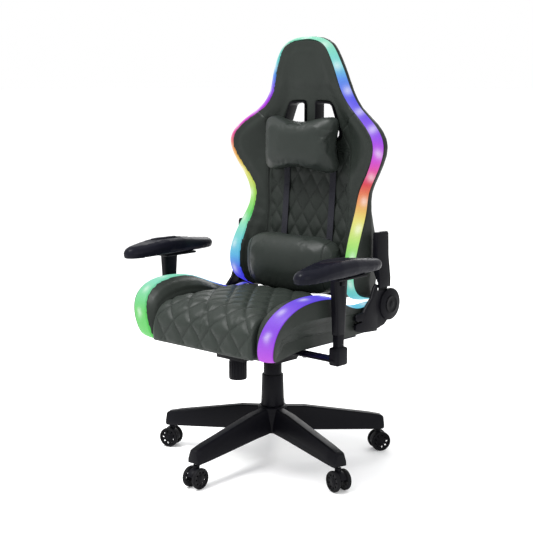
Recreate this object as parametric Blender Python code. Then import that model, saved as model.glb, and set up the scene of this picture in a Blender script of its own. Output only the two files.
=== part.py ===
"""Gaming chair with light bands, as separate pieces. Metres, +Z up; the chair faces -Y and stands on Z = 0."""
import math

import bmesh
import bpy
from mathutils import Matrix, Vector

# Driving dimensions.
GAP = 0.0003             # between pieces that touch
COLUMN_Y = 0.025         # puts the origin under the middle of the whole chair
BASE_RADIUS = 0.3355     # column axis to caster stems
FIRST_ARM = -87.4        # degrees from +X
ARM_OVERHANG = 0.014     # base arm past the stem
HUB_RADIUS = 0.044
HUB_BOTTOM = 0.088
HUB_TOP = 0.167
WHEEL_RADIUS = 0.030
WHEEL_WIDTH = 0.012
WHEEL_OFFSET = 0.018     # wheel's middle from the caster's middle
CASTER_TRAIL = 0.004
HOOD_WIDTH = 0.020
STEM_RADIUS = 0.0055
ARM_UNDERSIDE = 2 * WHEEL_RADIUS + 0.010   # underside of the base arms over the casters
AXLE_RADIUS = 0.003
TUBE_RADIUS = 0.025
CYLINDER_RADIUS = 0.014
COVER_TOP = 0.261        # split between the two column covers
HOUSING_BOTTOM = 0.305
HOUSING_HALF_WIDTH = 0.052
TILT_AXIS = Vector((0.0, -0.060, 0.345))
PLATE_Z = 0.374          # underside of the steel plate under the seat
PLATE_THICKNESS = 0.004
BOARD_THICKNESS = 0.0115
CUSHION_HALF_WIDTH = 0.196
ARM_X = 0.333            # middle of each armrest
ARM_Y = -0.105
PAD_LENGTH = 0.352
PAD_WIDTH = 0.082
SLEEVE_BOTTOM = 0.447
SLEEVE_TOP = 0.600
SLEEVE_WALL = 0.0027
RECLINE_AXIS = Vector((0.0, 0.195, 0.482))
DISC_RADIUS = 0.047
BRACKET_X = 0.2675       # inner face of the outer hinge plates, beside the seat
BRACKET_THICKNESS = 0.004
BAND_DEPTH = 0.010       # thickness of the light bands
SHELL_WALL = 0.005
STRAP_X = 0.090
LEVER_STUB_RADIUS = 0.0055

FINISHES = {
    "leatherette": ((0.043, 0.049, 0.043), 0.48, 0.0),
    "pillow": ((0.055, 0.061, 0.056), 0.46, 0.0),
    "light_band": ((0.55, 0.45, 0.85), 0.55, 0.0),
    "plastic": ((0.011, 0.011, 0.013), 0.42, 0.0),
    "arm_pad": ((0.014, 0.015, 0.022), 0.36, 0.0),
    "webbing": ((0.010, 0.010, 0.014), 0.75, 0.0),
    "steel": ((0.020, 0.020, 0.022), 0.38, 0.9),
    "wood": ((0.36, 0.25, 0.15), 0.70, 0.0),
}

# Right half of the backrest's rim, top middle to bottom rear: the front edge (x, y, z), the outer
# edge (x, y, z) and how far back the side reaches (y).
BACK_RIM = (
    ((0.000, 0.135, 1.247), (0.000, 0.158, 1.2545), 0.180),
    ((0.042, 0.135, 1.243), (0.050, 0.157, 1.250), 0.180),
    ((0.078, 0.135, 1.227), (0.092, 0.155, 1.231), 0.178),
    ((0.101, 0.136, 1.190), (0.119, 0.154, 1.193), 0.177),
    ((0.118, 0.140, 1.145), (0.140, 0.158, 1.147), 0.180),
    ((0.134, 0.146, 1.093), (0.158, 0.165, 1.096), 0.186),
    ((0.170, 0.145, 1.047), (0.192, 0.162, 1.048), 0.184),
    ((0.232, 0.124, 1.003), (0.256, 0.145, 1.004), 0.172),
    ((0.270, 0.114, 0.962), (0.295, 0.134, 0.961), 0.164),
    ((0.272, 0.117, 0.917), (0.296, 0.135, 0.915), 0.164),
    ((0.240, 0.132, 0.858), (0.265, 0.146, 0.858), 0.172),
    ((0.207, 0.141, 0.808), (0.235, 0.152, 0.806), 0.180),
    ((0.199, 0.134, 0.750), (0.230, 0.149, 0.748), 0.186),
    ((0.204, 0.100, 0.682), (0.241, 0.108, 0.680), 0.192),
    ((0.209, 0.074, 0.610), (0.247, 0.075, 0.609), 0.196),
    ((0.207, 0.076, 0.543), (0.244, 0.074, 0.552), 0.196),
    ((0.203, 0.107, 0.500), (0.241, 0.104, 0.512), 0.196),
    ((0.200, 0.170, 0.486), (0.240, 0.168, 0.495), 0.196),
)
# Heights down the middle of the backrest: z, front face y, rear face y.
BACK_MIDDLE = (
    (1.260, 0.136, 0.182), (1.160, 0.150, 0.192), (1.060, 0.170, 0.199), (0.950, 0.172, 0.202),
    (0.820, 0.168, 0.214), (0.700, 0.158, 0.214), (0.600, 0.148, 0.214), (0.480, 0.142, 0.208),
)
# Side outline of the seat bolsters, clockwise from the front bottom: y, z, inner x, outer x.
SEAT_RIM = (
    (-0.262, 0.379, 0.207, 0.253), (-0.292, 0.390, 0.210, 0.258), (-0.304, 0.430, 0.218, 0.269),
    (-0.300, 0.474, 0.231, 0.281), (-0.277, 0.511, 0.244, 0.292), (-0.230, 0.538, 0.252, 0.299),
    (-0.165, 0.549, 0.257, 0.304), (-0.090, 0.544, 0.258, 0.303), (-0.030, 0.522, 0.250, 0.288),
    (0.024, 0.501, 0.231, 0.267), (0.082, 0.487, 0.232, 0.2600), (0.132, 0.494, 0.243, 0.2595),
    (0.159, 0.484, 0.243, 0.2590), (0.168, 0.450, 0.236, 0.2570), (0.162, 0.412, 0.220, 0.2550),
    (0.120, 0.400, 0.220, 0.2560), (-0.040, 0.400, 0.222, 0.259), (-0.190, 0.395, 0.213, 0.255),
)
# Top of the seat cushion along its middle: y, z.
CUSHION_TOP = (
    (-0.304, 0.436), (-0.296, 0.470), (-0.268, 0.497), (-0.220, 0.508), (-0.120, 0.511),
    (-0.020, 0.512), (0.040, 0.506), (0.075, 0.480), (0.098, 0.455),
)

frames = {}


def clear_scene():
    for obj in list(bpy.data.objects):
        bpy.data.objects.remove(obj)


def make_finish(name):
    colour, roughness, metallic = FINISHES[name]
    finish = bpy.data.materials.new(name)
    finish.use_nodes = True
    shader = finish.node_tree.nodes["Principled BSDF"]
    shader.inputs["Base Color"].default_value = (*colour, 1.0)
    shader.inputs["Roughness"].default_value = roughness
    shader.inputs["Metallic"].default_value = metallic
    return finish


def add_frame(name, place, parent=None):
    """An empty on a joint's axis, at a place in chair coordinates (column axis at X = Y = 0)."""
    empty = bpy.data.objects.new(f"{name}_axis", None)
    bpy.context.scene.collection.objects.link(empty)
    frames[name] = (empty, Vector(place))
    if parent:
        empty.parent = frames[parent][0]
        empty.location = Vector(place) - frames[parent][1]
    else:
        empty.location = Vector(place) + Vector((0.0, COLUMN_Y, 0.0))


def mesh_of(name, bm):
    bmesh.ops.remove_doubles(bm, verts=bm.verts, dist=1e-6)
    bmesh.ops.recalc_face_normals(bm, faces=bm.faces)
    if bm.calc_volume(signed=True) < 0:
        bmesh.ops.reverse_faces(bm, faces=bm.faces)
    mesh = bpy.data.meshes.new(name)
    bm.to_mesh(mesh)
    bm.free()
    mesh.shade_smooth()
    mesh.set_sharp_from_angle(angle=math.radians(35))
    return mesh


def add_part(name, bm, finish, frame):
    """A node whose mesh was drawn in chair coordinates, hung on the frame that carries it."""
    empty, place = frames[frame]
    bmesh.ops.translate(bm, verts=bm.verts, vec=-place)
    part = bpy.data.objects.new(name, mesh_of(name, bm))
    part.data.materials.append(bpy.data.materials[finish])
    bpy.context.scene.collection.objects.link(part)
    part.parent = empty
    return part


def combine(part, bm, operation, frame):
    """Cuts from a part, or adds to it, another shape drawn in chair coordinates."""
    empty, place = frames[frame]
    bmesh.ops.translate(bm, verts=bm.verts, vec=-place)
    name = f"{part.name}_shape_{len(part.modifiers)}"
    tool = bpy.data.objects.new(name, mesh_of(name, bm))
    bpy.context.scene.collection.objects.link(tool)
    tool.parent = empty
    tool.hide_render = True
    tool.display_type = "WIRE"
    boolean = part.modifiers.new(name, "BOOLEAN")
    boolean.operation = operation
    boolean.object = tool


def skin(loops, closed=False):
    """Closed loops of equal length joined in order, with a cap at each end unless the row closes."""
    bm = bmesh.new()
    rings = [[bm.verts.new(point) for point in loop] for loop in loops]
    pairs = list(zip(rings, rings[1:] + rings[:1])) if closed else list(zip(rings, rings[1:]))
    for first, second in pairs:
        for index in range(len(first)):
            after = (index + 1) % len(first)
            bm.faces.new((first[index], first[after], second[after], second[index]))
    if not closed:
        bm.faces.new(rings[0])
        bm.faces.new(rings[-1])
    return bm


def turned(profile, steps=24, axis="Z", place=(0.0, 0.0, 0.0)):
    """A closed profile of (radius, height) turned round an axis through a place."""
    loops = []
    for step in range(steps):
        turn = math.tau * step / steps
        side, across = math.cos(turn), math.sin(turn)
        if axis == "Z":
            loops.append([Vector((r * side, r * across, h)) + Vector(place) for r, h in profile])
        else:
            loops.append([Vector((h, r * side, r * across)) + Vector(place) for r, h in profile])
    return skin(loops, closed=True)


def rod(radius, low, high, steps=16, axis="Z", place=(0.0, 0.0, 0.0)):
    return turned(((0.0, low), (radius, low), (radius, high), (0.0, high)), steps, axis, place)


def block(low, high, bevel=0.0, segments=2):
    bm = bmesh.new()
    size = Vector(high) - Vector(low)
    matrix = Matrix.Translation((Vector(low) + Vector(high)) / 2) @ Matrix.Diagonal((*size, 1.0))
    bmesh.ops.create_cube(bm, size=1.0, matrix=matrix)
    if bevel:
        bmesh.ops.bevel(bm, geom=bm.edges[:], offset=bevel, segments=segments, affect="EDGES", profile=0.5)
    return bm


def prism(outline, axis, low, high, bevel=0.0, segments=2):
    """A flat outline pushed along an axis. Outline pairs are (y, z) for X, (x, z) for Y, (x, y) for Z."""
    order = {"X": lambda a, b, t: (t, a, b), "Y": lambda a, b, t: (a, t, b), "Z": lambda a, b, t: (a, b, t)}
    bm = skin([[order[axis](a, b, t) for a, b in outline] for t in (low, high)])
    if bevel:
        bmesh.ops.recalc_face_normals(bm, faces=bm.faces)
        bmesh.ops.bevel(bm, geom=bm.edges[:], offset=bevel, segments=segments, affect="EDGES", profile=0.5)
    return bm


def flip_x(points, side):
    return [(side * x, *rest) for x, *rest in points]


def curve(knots, where):
    """A smooth curve through evenly numbered knots, read at a place counted in knots."""
    index = min(int(where), len(knots) - 2)
    t = where - index
    near = [Vector(knots[min(max(index + shift, 0), len(knots) - 1)]) for shift in (-1, 0, 1, 2)]
    if index == 0:
        near[0] = 2 * near[1] - near[2]
    if index == len(knots) - 2:
        near[3] = 2 * near[2] - near[1]
    return 0.5 * (
        2 * near[1] + (near[2] - near[0]) * t
        + (2 * near[0] - 5 * near[1] + 4 * near[2] - near[3]) * t * t
        + (3 * near[1] - near[0] - 3 * near[2] + near[3]) * t ** 3
    )


def ring_curve(knots, where):
    """As curve, on knots that close on themselves."""
    count = len(knots)
    index = int(where) % count
    around = [knots[(index + shift) % count] for shift in (-1, 0, 1, 2)]
    return curve(around, 1 + where - int(where))


def read(table, z):
    """Straight-line values from a table whose first column falls with each row."""
    if z >= table[0][0]:
        return table[0][1:]
    for upper, lower in zip(table, table[1:]):
        if z >= lower[0]:
            t = (z - lower[0]) / (upper[0] - lower[0])
            return [b + (a - b) * t for a, b in zip(upper[1:], lower[1:])]
    return table[-1][1:]


def ease(t):
    t = min(max(t, 0.0), 1.0)
    return t * t * (3 - 2 * t)


def oval(half_x, half_y, steps, power=2.0):
    """Points of a rounded outline about the origin; a higher power is squarer."""
    points = []
    for step in range(steps):
        turn = math.tau * (step + 0.5) / steps
        side, across = math.cos(turn), math.sin(turn)
        points.append((
            half_x * math.copysign(abs(side) ** (2 / power), side),
            half_y * math.copysign(abs(across) ** (2 / power), across),
        ))
    return points


def build_frames():
    add_frame("base", (0.0, 0.0, 0.0))
    add_frame("lift", (0.0, 0.0, HUB_TOP), "base")
    add_frame("swivel", (0.0, 0.0, HOUSING_BOTTOM), "lift")
    add_frame("tilt", TILT_AXIS, "swivel")
    add_frame("recline", RECLINE_AXIS, "tilt")


# Star base and casters

def build_star_base():
    hub = turned((
        (TUBE_RADIUS + GAP, HUB_BOTTOM), (HUB_RADIUS - 0.003, HUB_BOTTOM), (HUB_RADIUS, HUB_BOTTOM + 0.003),
        (HUB_RADIUS, HUB_TOP - 0.004), (HUB_RADIUS - 0.004, HUB_TOP), (TUBE_RADIUS + GAP, HUB_TOP),
    ), 30)
    base = add_part("star_base", hub, "plastic", "base")
    reach = BASE_RADIUS + ARM_OVERHANG
    for arm in range(5):
        turn = Matrix.Rotation(math.radians(FIRST_ARM + 72 * arm), 4, "Z")
        loops = []
        for out, low_half, top_half, low, top in (
            (TUBE_RADIUS + 0.006, 0.0235, 0.0150, HUB_BOTTOM + 0.002, HUB_TOP - 0.004),
            (0.100, 0.0230, 0.0150, HUB_BOTTOM - 0.001, HUB_TOP - 0.009),
            (BASE_RADIUS - 0.030, 0.0215, 0.0150, ARM_UNDERSIDE + 0.002, ARM_UNDERSIDE + 0.050),
            (reach - 0.006, 0.0205, 0.0145, ARM_UNDERSIDE, ARM_UNDERSIDE + 0.041),
            (reach, 0.0180, 0.0120, ARM_UNDERSIDE + 0.003, ARM_UNDERSIDE + 0.036),
        ):
            edge = 0.004
            loops.append([turn @ Vector(point) for point in (
                (out, -low_half, low), (out, -low_half, low + 0.3 * (top - low)), (out, -top_half, top - edge),
                (out, -top_half + edge, top), (out, top_half - edge, top), (out, top_half, top - edge),
                (out, low_half, low + 0.3 * (top - low)), (out, low_half, low),
            )])
        combine(base, skin(loops), "UNION", "base")
    for arm in range(5):
        place = Matrix.Rotation(math.radians(FIRST_ARM + 72 * arm), 4, "Z") @ Vector((BASE_RADIUS, 0.0, 0.0))
        bore = rod(STEM_RADIUS + GAP, ARM_UNDERSIDE - 0.020, ARM_UNDERSIDE + 0.0305, 12, place=place)
        combine(base, bore, "DIFFERENCE", "base")


def build_casters():
    for arm in range(5):
        turn = Matrix.Rotation(math.radians(FIRST_ARM + 72 * arm), 4, "Z")
        stem_at = turn @ Vector((BASE_RADIUS, 0.0, 0.0))
        axle_at = turn @ Vector((BASE_RADIUS + CASTER_TRAIL, 0.0, WHEEL_RADIUS))
        number = arm + 1
        fork, roll = f"caster_swivel_{number}", f"caster_roll_{number}"
        add_frame(fork, stem_at, "base")
        add_frame(roll, axle_at, fork)

        def set_out(bm):
            bmesh.ops.transform(bm, matrix=turn, verts=bm.verts)
            return bm

        hood_radius = WHEEL_RADIUS - 0.003
        middle = BASE_RADIUS + CASTER_TRAIL
        outline = []
        for step in range(13):
            angle = math.radians(-35 + 250 * step / 12)
            outline.append((middle + hood_radius * math.cos(angle), WHEEL_RADIUS + hood_radius * math.sin(angle)))
        hood = prism(outline, "Y", -HOOD_WIDTH / 2, HOOD_WIDTH / 2)
        housing = add_part(f"caster_housing_{number}", set_out(hood), "plastic", fork)
        low, shoulder, top = WHEEL_RADIUS + 0.015, ARM_UNDERSIDE - 0.0035, ARM_UNDERSIDE + 0.030
        stem = turned((
            (0.0, low), (0.0095, low), (0.0095, shoulder), (STEM_RADIUS, shoulder), (STEM_RADIUS, top), (0.0, top),
        ), 12, place=(BASE_RADIUS, 0.0, 0.0))
        combine(housing, set_out(stem), "UNION", fork)
        bore = rod(AXLE_RADIUS + GAP, -0.02, 0.02, 10, "X")
        bmesh.ops.rotate(bore, verts=bore.verts, matrix=Matrix.Rotation(math.pi / 2, 3, "Z"))
        bmesh.ops.translate(bore, verts=bore.verts, vec=(middle, 0.0, WHEEL_RADIUS))
        combine(housing, set_out(bore), "DIFFERENCE", fork)
        for letter, side in (("a", -1), ("b", 1)):
            inner, outer = WHEEL_OFFSET - WHEEL_WIDTH / 2, WHEEL_OFFSET + WHEEL_WIDTH / 2
            profile = [(WHEEL_RADIUS - 0.003, outer), (WHEEL_RADIUS, outer - 0.003), (WHEEL_RADIUS, inner),
                       (0.0, inner), (0.0, outer)]
            if letter == "a":
                pin_end = -inner + GAP
                profile[3:4] = [(AXLE_RADIUS, inner), (AXLE_RADIUS, pin_end), (0.0, pin_end)]
            wheel = turned(profile, 28, "X")
            bmesh.ops.rotate(wheel, verts=wheel.verts, matrix=Matrix.Rotation(side * math.pi / 2, 3, "Z"))
            bmesh.ops.translate(wheel, verts=wheel.verts, vec=(middle, 0.0, WHEEL_RADIUS))
            add_part(f"caster_wheel_{letter}_{number}", set_out(wheel), "plastic", roll)


# Column and tilt mechanism

def build_column():
    bush_bottom, tube_top, clip = 0.190, 0.250, HUB_BOTTOM + 0.006
    bore = TUBE_RADIUS - 0.0025
    tube = turned((
        (0.0, HUB_BOTTOM), (TUBE_RADIUS, HUB_BOTTOM), (TUBE_RADIUS, tube_top),
        (CYLINDER_RADIUS + GAP, tube_top), (CYLINDER_RADIUS + GAP, bush_bottom), (bore, bush_bottom),
        (bore, clip), (0.004, clip), (0.004, 0.205), (0.0, 0.205),
    ))
    add_part("gas_outer_tube", tube, "steel", "base")
    lower = turned((
        (TUBE_RADIUS + 0.0070, HUB_TOP + GAP), (TUBE_RADIUS + 0.0100, HUB_TOP + GAP),
        (TUBE_RADIUS + 0.0070, COVER_TOP), (TUBE_RADIUS + 0.0042, COVER_TOP),
    ))
    add_part("column_cover_lower", lower, "plastic", "base")
    cylinder = turned((
        (0.0, 0.215), (0.0043, 0.215), (0.0043, 0.100), (CYLINDER_RADIUS, 0.100), (CYLINDER_RADIUS, 0.280),
        (CYLINDER_RADIUS - 0.001, 0.336), (0.0035, 0.336), (0.0035, 0.3425), (0.0, 0.3425),
    ))
    add_part("gas_cylinder", cylinder, "steel", "lift")
    upper = turned((
        (TUBE_RADIUS + 2 * GAP, 0.1725), (TUBE_RADIUS + 0.0025, 0.1725),
        (TUBE_RADIUS + 0.0025, HOUSING_BOTTOM - GAP),
        (TUBE_RADIUS + 2 * GAP, HOUSING_BOTTOM - GAP),
    ))
    add_part("column_cover_upper", upper, "plastic", "lift")


def build_mechanism():
    front, nose, rear = 0.337, -0.185, 0.062
    outline = ((nose, front), (-0.078, front), (-0.046, HOUSING_BOTTOM), (rear - 0.012, HOUSING_BOTTOM),
               (rear, HOUSING_BOTTOM + 0.012), (rear, 0.332), (-0.020, 0.356), (nose, 0.356))
    half = HOUSING_HALF_WIDTH
    housing = add_part("mechanism_housing", prism(outline, "X", -half, half), "steel", "swivel")
    wall = 0.004
    hollow = ((nose + wall, front + wall), (-0.076, front + wall), (-0.044, HOUSING_BOTTOM + wall),
              (rear - 0.013, HOUSING_BOTTOM + wall), (rear - wall, HOUSING_BOTTOM + 0.014), (rear - wall, 0.4),
              (nose + wall, 0.4))
    combine(housing, prism(hollow, "X", wall - half, half - wall), "DIFFERENCE", "swivel")
    combine(housing, rod(0.022, HOUSING_BOTTOM + 0.001, 0.333, 20), "UNION", "swivel")
    combine(housing, rod(CYLINDER_RADIUS + GAP, 0.290, 0.345, 20), "DIFFERENCE", "swivel")
    combine(housing, rod(0.0053, -0.06, 0.06, 12, "X", TILT_AXIS), "DIFFERENCE", "swivel")
    combine(housing, rod(0.0063, 0.330, 0.345, 12, place=(0.0, -0.150, 0.0)), "DIFFERENCE", "swivel")
    pin = turned((
        (0.0, -0.0650), (0.0085, -0.0650), (0.0085, -0.0606), (0.005, -0.0606),
        (0.005, 0.0606), (0.0085, 0.0606), (0.0085, 0.0650), (0.0, 0.0650),
    ), 12, "X", TILT_AXIS)
    add_part("tilt_pin", pin, "steel", "swivel")
    add_frame("knob", (0.0, -0.150, 0.0), "swivel")
    knob = turned((
        (0.0, 0.275), (0.0245, 0.275), (0.0260, 0.277), (0.0248, front - 0.0008), (0.0205, front - 0.0008),
        (0.0205, 0.283), (0.005, 0.283), (0.005, 0.3520), (0.0, 0.3520),
    ), 28, place=(0.0, -0.150, 0.0))
    add_part("tension_knob", knob, "plastic", "knob")
    turns, steps, sides, coil, wire = 4, 14, 6, 0.0135, 0.0022
    loops = []
    for step in range(turns * steps + 1):
        angle = math.tau * step / steps
        centre = Vector((coil * math.cos(angle), coil * math.sin(angle), 0.0))
        height = 0.2865 + (front - GAP - wire - 0.2865) * step / (turns * steps)
        out = centre.normalized()
        loops.append([
            centre + out * wire * math.cos(math.tau * k / sides)
            + Vector((0.0, -0.150, height + wire * math.sin(math.tau * k / sides)))
            for k in range(sides)
        ])
    add_part("tension_spring", skin(loops), "steel", "swivel")
    add_frame("lever", (-0.045, 0.022, 0.350), "swivel")
    loops = []
    for x, y, z, thick, wide in (
        (0.005, 0.000, 0.350, 0.004, 0.004), (-0.012, 0.004, 0.350, 0.004, 0.004), (-0.032, 0.016, 0.350, 0.004, 0.004),
        (-0.045, 0.021, 0.350, 0.004, 0.004), (-0.060, 0.022, 0.350, 0.004, 0.004), (-0.080, 0.022, 0.347, 0.004, 0.004),
        (-0.215, 0.022, 0.330, 0.004, 0.004), (-0.225, 0.022, 0.329, 0.0045, 0.016), (-0.240, 0.022, 0.328, 0.0045, 0.024),
        (-0.290, 0.022, 0.326, 0.0045, 0.024), (-0.300, 0.022, 0.325, 0.0035, 0.018),
    ):
        loops.append([(x, y + a, z + b) for a, b in oval(wide, thick, 10, 2.6)])
    add_part("height_lever", skin(loops), "plastic", "lever")
    top = PLATE_Z + PLATE_THICKNESS
    plate = add_part("seat_plate", block((-0.095, -0.165, PLATE_Z), (0.095, 0.135, top)), "steel", "tilt")
    for side in (-1, 1):
        near, far = sorted((side * 0.0555, side * 0.0600))
        ear = prism(((-0.085, 0.338), (-0.073, 0.330), (-0.047, 0.330), (-0.035, 0.338), (-0.030, PLATE_Z + 0.002),
                     (-0.090, PLATE_Z + 0.002)), "X", near, far)
        combine(plate, ear, "UNION", "tilt")
    combine(plate, rod(0.0053, -0.07, 0.07, 12, "X", TILT_AXIS), "DIFFERENCE", "tilt")


# Seat

def seat_station(where):
    y, z, inner = ring_curve([knot[:3] for knot in SEAT_RIM], where)
    outer = ring_curve([(knot[3], 0.0, 0.0) for knot in SEAT_RIM], where)[0]
    return Vector((0.0, y, z)), inner, outer


def seat_rim(count):
    """Points round the bolster's side outline with the inner and outer x at each."""
    places = [seat_station(len(SEAT_RIM) * step / count) for step in range(count)]
    rim = []
    for step, (point, inner, outer) in enumerate(places):
        along = (places[(step + 1) % count][0] - places[step - 1][0]).normalized()
        inward = Vector((0.0, along.z, -along.y))
        rim.append((point, inward, inner, outer))
    return rim


def build_seat():
    top = PLATE_Z + PLATE_THICKNESS + GAP
    board_top = top + BOARD_THICKNESS
    half = CUSHION_HALF_WIDTH
    board = block((-half, -0.235, top), (half, 0.150, board_top))
    add_part("seat_board", board, "wood", "tilt")
    cushion = []
    rows = 15
    for row in range(rows):
        where = (len(CUSHION_TOP) - 1) * row / (rows - 1)
        y, z = curve([(*knot, 0.0) for knot in CUSHION_TOP], where)[:2]
        low = board_top + GAP if y > -0.262 else 0.3835
        side_z = low + 0.5 * (z - low)
        cushion.append([
            (-half, y, low), (-half, y, side_z), (-half + 0.004, y, z - 0.012), (-half + 0.030, y, z - 0.006),
            (-0.09, y, z - 0.001), (0.0, y, z), (0.09, y, z - 0.001), (half - 0.030, y, z - 0.006),
            (half - 0.004, y, z - 0.012), (half, y, side_z), (half, y, low), (0.0, y, low),
        ])
    body = add_part("seat_cushion", skin(cushion), "leatherette", "tilt")
    rebate = block((-half - 0.01, -0.2353, 0.30), (half + 0.01, 0.3, board_top + GAP))
    combine(body, rebate, "DIFFERENCE", "tilt")
    for name, side in (("left", 1), ("right", -1)):
        build_bolster(name, side)


def build_bolster(name, side):
    rim = seat_rim(36)
    seam = CUSHION_HALF_WIDTH + GAP
    squeeze = []
    for point, inward, inner, outer in rim:
        drop = 0.006 + 0.039 * ease((point.z - 0.42) / 0.08)
        squeeze.append((seam, min(max(point.y, -0.284), 0.160), max(point.z - drop, 0.392)))
    middles = [(0.5 * (seam + inner), 0.5 * (low[1] + point.y), point.z - 0.25 * (point.z - low[2]))
               for low, (point, _, inner, _) in zip(squeeze, rim)]

    def core(point, share):
        """A point drawn in towards the middle line of the side outline."""
        line = Vector((0.0, min(max(point.y, -0.235), 0.115), 0.462))
        return point + (line - point) * share

    depth = BAND_DEPTH + 0.0008
    loops = [squeeze, middles, [(inner - 0.0008, *point.yz) for point, _, inner, _ in rim]]
    loops.append([(inner - 0.0008, *(point + inward * depth).yz) for point, inward, inner, _ in rim])
    loops.append([(outer - 0.007, *(point + inward * (depth + 0.0085)).yz) for point, inward, _, outer in rim])
    loops.append([(outer - 0.010, *core(point, 0.62).yz) for point, _, _, outer in rim])
    add_part(f"seat_bolster_{name}", skin([flip_x(loop, side) for loop in loops]), "leatherette", "tilt")
    band = []
    for point, inward, inner, outer in rim:
        edge = point + inward * 0.005
        back = point + inward * (BAND_DEPTH + 0.0075)
        middle = point + inward * 0.0005
        hollow = point + inward * BAND_DEPTH
        band.append(flip_x(((inner, *point.yz), (0.45 * inner + 0.55 * outer, *middle.yz), (outer, *edge.yz),
                            (outer, *back.yz), (inner, *hollow.yz)), side))
    add_part(f"seat_light_band_{name}", skin(band, closed=True), "light_band", "tilt")
    panel = [[(outer + 0.0016, *core(point, 0.62).yz) for point, _, _, outer in rim]]
    edge, clear = 0.6 * BAND_DEPTH, 0.18 * BAND_DEPTH
    for out, push in ((clear, 0.020), (clear, edge), (clear + 0.0012, edge + 0.0005), (0.0045, 0.018)):
        panel.append([(outer + out, *(point + inward * push).yz) for point, inward, _, outer in rim])
    panel.append([(outer + 0.0050, *core(point, 0.62).yz) for point, _, _, outer in rim])
    add_part(f"seat_side_panel_{name}", skin([flip_x(loop, side) for loop in panel]), "leatherette", "tilt")


# Armrests

def build_armrest(name, side):
    frame, press = f"arm_{name}", f"button_{name}"
    add_frame(frame, (side * ARM_X, ARM_Y, SLEEVE_BOTTOM), "tilt")
    add_frame(press, (side * (ARM_X + 0.012), ARM_Y, 0.590), frame)

    def box(low, high, bevel=0.0, segments=1):
        bm = block(low, high, bevel, segments)
        bmesh.ops.scale(bm, verts=bm.verts, vec=(side, 1.0, 1.0))
        return bm

    under = PLATE_Z + PLATE_THICKNESS
    bar = box((0.100, ARM_Y - 0.025, under - 0.006), (ARM_X + 0.005, ARM_Y + 0.025, under))
    bracket = add_part(f"arm_bracket_{name}", bar, "steel", "tilt")
    foot = box((ARM_X - 0.017, ARM_Y - 0.0225, 0.362), (ARM_X + 0.017, ARM_Y + 0.0225, 0.412), 0.004)
    combine(bracket, foot, "UNION", "tilt")
    post = (0.009, 0.0135)
    upright = box((ARM_X - post[0], ARM_Y - post[1], 0.400), (ARM_X + post[0], ARM_Y + post[1], 0.558))
    combine(bracket, upright, "UNION", "tilt")
    wide = post[0] + GAP + SLEEVE_WALL
    loops = []
    for z, half in ((SLEEVE_BOTTOM, 0.0175), (0.500, 0.0200), (0.560, 0.0245), (SLEEVE_TOP, 0.0275)):
        loops.append([(side * ARM_X + a, ARM_Y + b, z) for a, b in oval(wide, half, 16, 5.0)])
    sleeve = add_part(f"arm_sleeve_{name}", skin(loops), "plastic", frame)
    plate = box((ARM_X - 0.033, ARM_Y - 0.040, SLEEVE_TOP - 0.001), (ARM_X + 0.033, ARM_Y + 0.085, 0.6055), 0.002)
    combine(sleeve, plate, "UNION", frame)
    cavity = box((ARM_X - post[0] - GAP, ARM_Y - post[1] - GAP, 0.40),
                 (ARM_X + post[0] + GAP, ARM_Y + post[1] + GAP, 0.5945))
    combine(sleeve, cavity, "DIFFERENCE", frame)
    face = ARM_X + wide
    pocket = box((face - 0.0017, ARM_Y - 0.0085, 0.5815), (face + 0.01, ARM_Y + 0.0085, 0.5965))
    combine(sleeve, pocket, "DIFFERENCE", frame)
    button = box((face + 0.0006, ARM_Y - 0.0080, 0.5820), (face + 0.0046, ARM_Y + 0.0080, 0.5960), 0.0008)
    add_part(f"arm_button_{name}", button, "plastic", press)
    middle = ARM_Y + 0.003
    loops = []
    for rise, grow in ((0.0, -0.007), (0.008, 0.0), (0.026, 0.0), (0.038, -0.005), (0.0465, -0.018)):
        loop = []
        for a, b in oval(PAD_WIDTH / 2 + grow, PAD_LENGTH / 2 + grow, 28, 2.7):
            narrow = 1.0 - 0.22 * ease((b + 0.02) / 0.12)
            low = rise / 0.0465
            droop = (0.011 + 0.004 * low) * ease((-b - 0.03) / 0.13) * (rise > 0)
            droop += 0.016 * low * ease((b - 0.01) / 0.15)
            loop.append((side * ARM_X + a * narrow, middle + b, 0.6060 + rise - droop))
        loops.append(loop)
    add_part(f"arm_pad_{name}", skin(loops), "arm_pad", frame)


# Backrest

def back_station(where):
    front = curve([knot[0] for knot in BACK_RIM], where)
    outer = curve([knot[1] for knot in BACK_RIM], where)
    side = curve([(knot[2], 0.0, 0.0) for knot in BACK_RIM], where)[0]
    return front, outer, side


def back_inner(front, outer, where):
    """The band's hidden inner edge, behind the front edge and level with the outer one."""
    last = len(BACK_RIM) - 1
    under = ease((where - (last - 3)) / 2.4)
    depth = max(outer.y - front.y, BAND_DEPTH) * (1 - under) + 0.002 * under
    return front + Vector((0.0, depth, 0.012 * under))


def face_y(x, front, middle):
    """Front face between its edge and its deeper middle."""
    across = min(abs(x) / max(front.x, 1e-6), 1.0)
    flat = 0.50 + 0.25 * ease((0.86 - front.z) / 0.12)
    return middle + (front.y - middle) * ease((across - flat) / (1.0 - flat))


def back_rows():
    count = 34
    last = len(BACK_RIM) - 1
    for row in range(count + 1):
        where = last * row / count
        yield where, *back_station(where)


def build_back_band():
    band = []
    for where, front, outer, _ in back_rows():
        inner = back_inner(front, outer, where)
        facing = (outer - front).cross(Vector((0.0, 0.0, 1.0)))
        swell = Vector((facing.x, facing.y, 0.0)).normalized() * -0.002 if where < 15 else Vector()
        middle = 0.5 * (front + outer) - swell
        band.append([front, middle, outer, inner])
    mirrored = [[Vector((-point.x, point.y, point.z)) for point in section] for section in reversed(band[1:])]
    add_part("back_light_band", skin(mirrored + band), "light_band", "recline")


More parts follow.
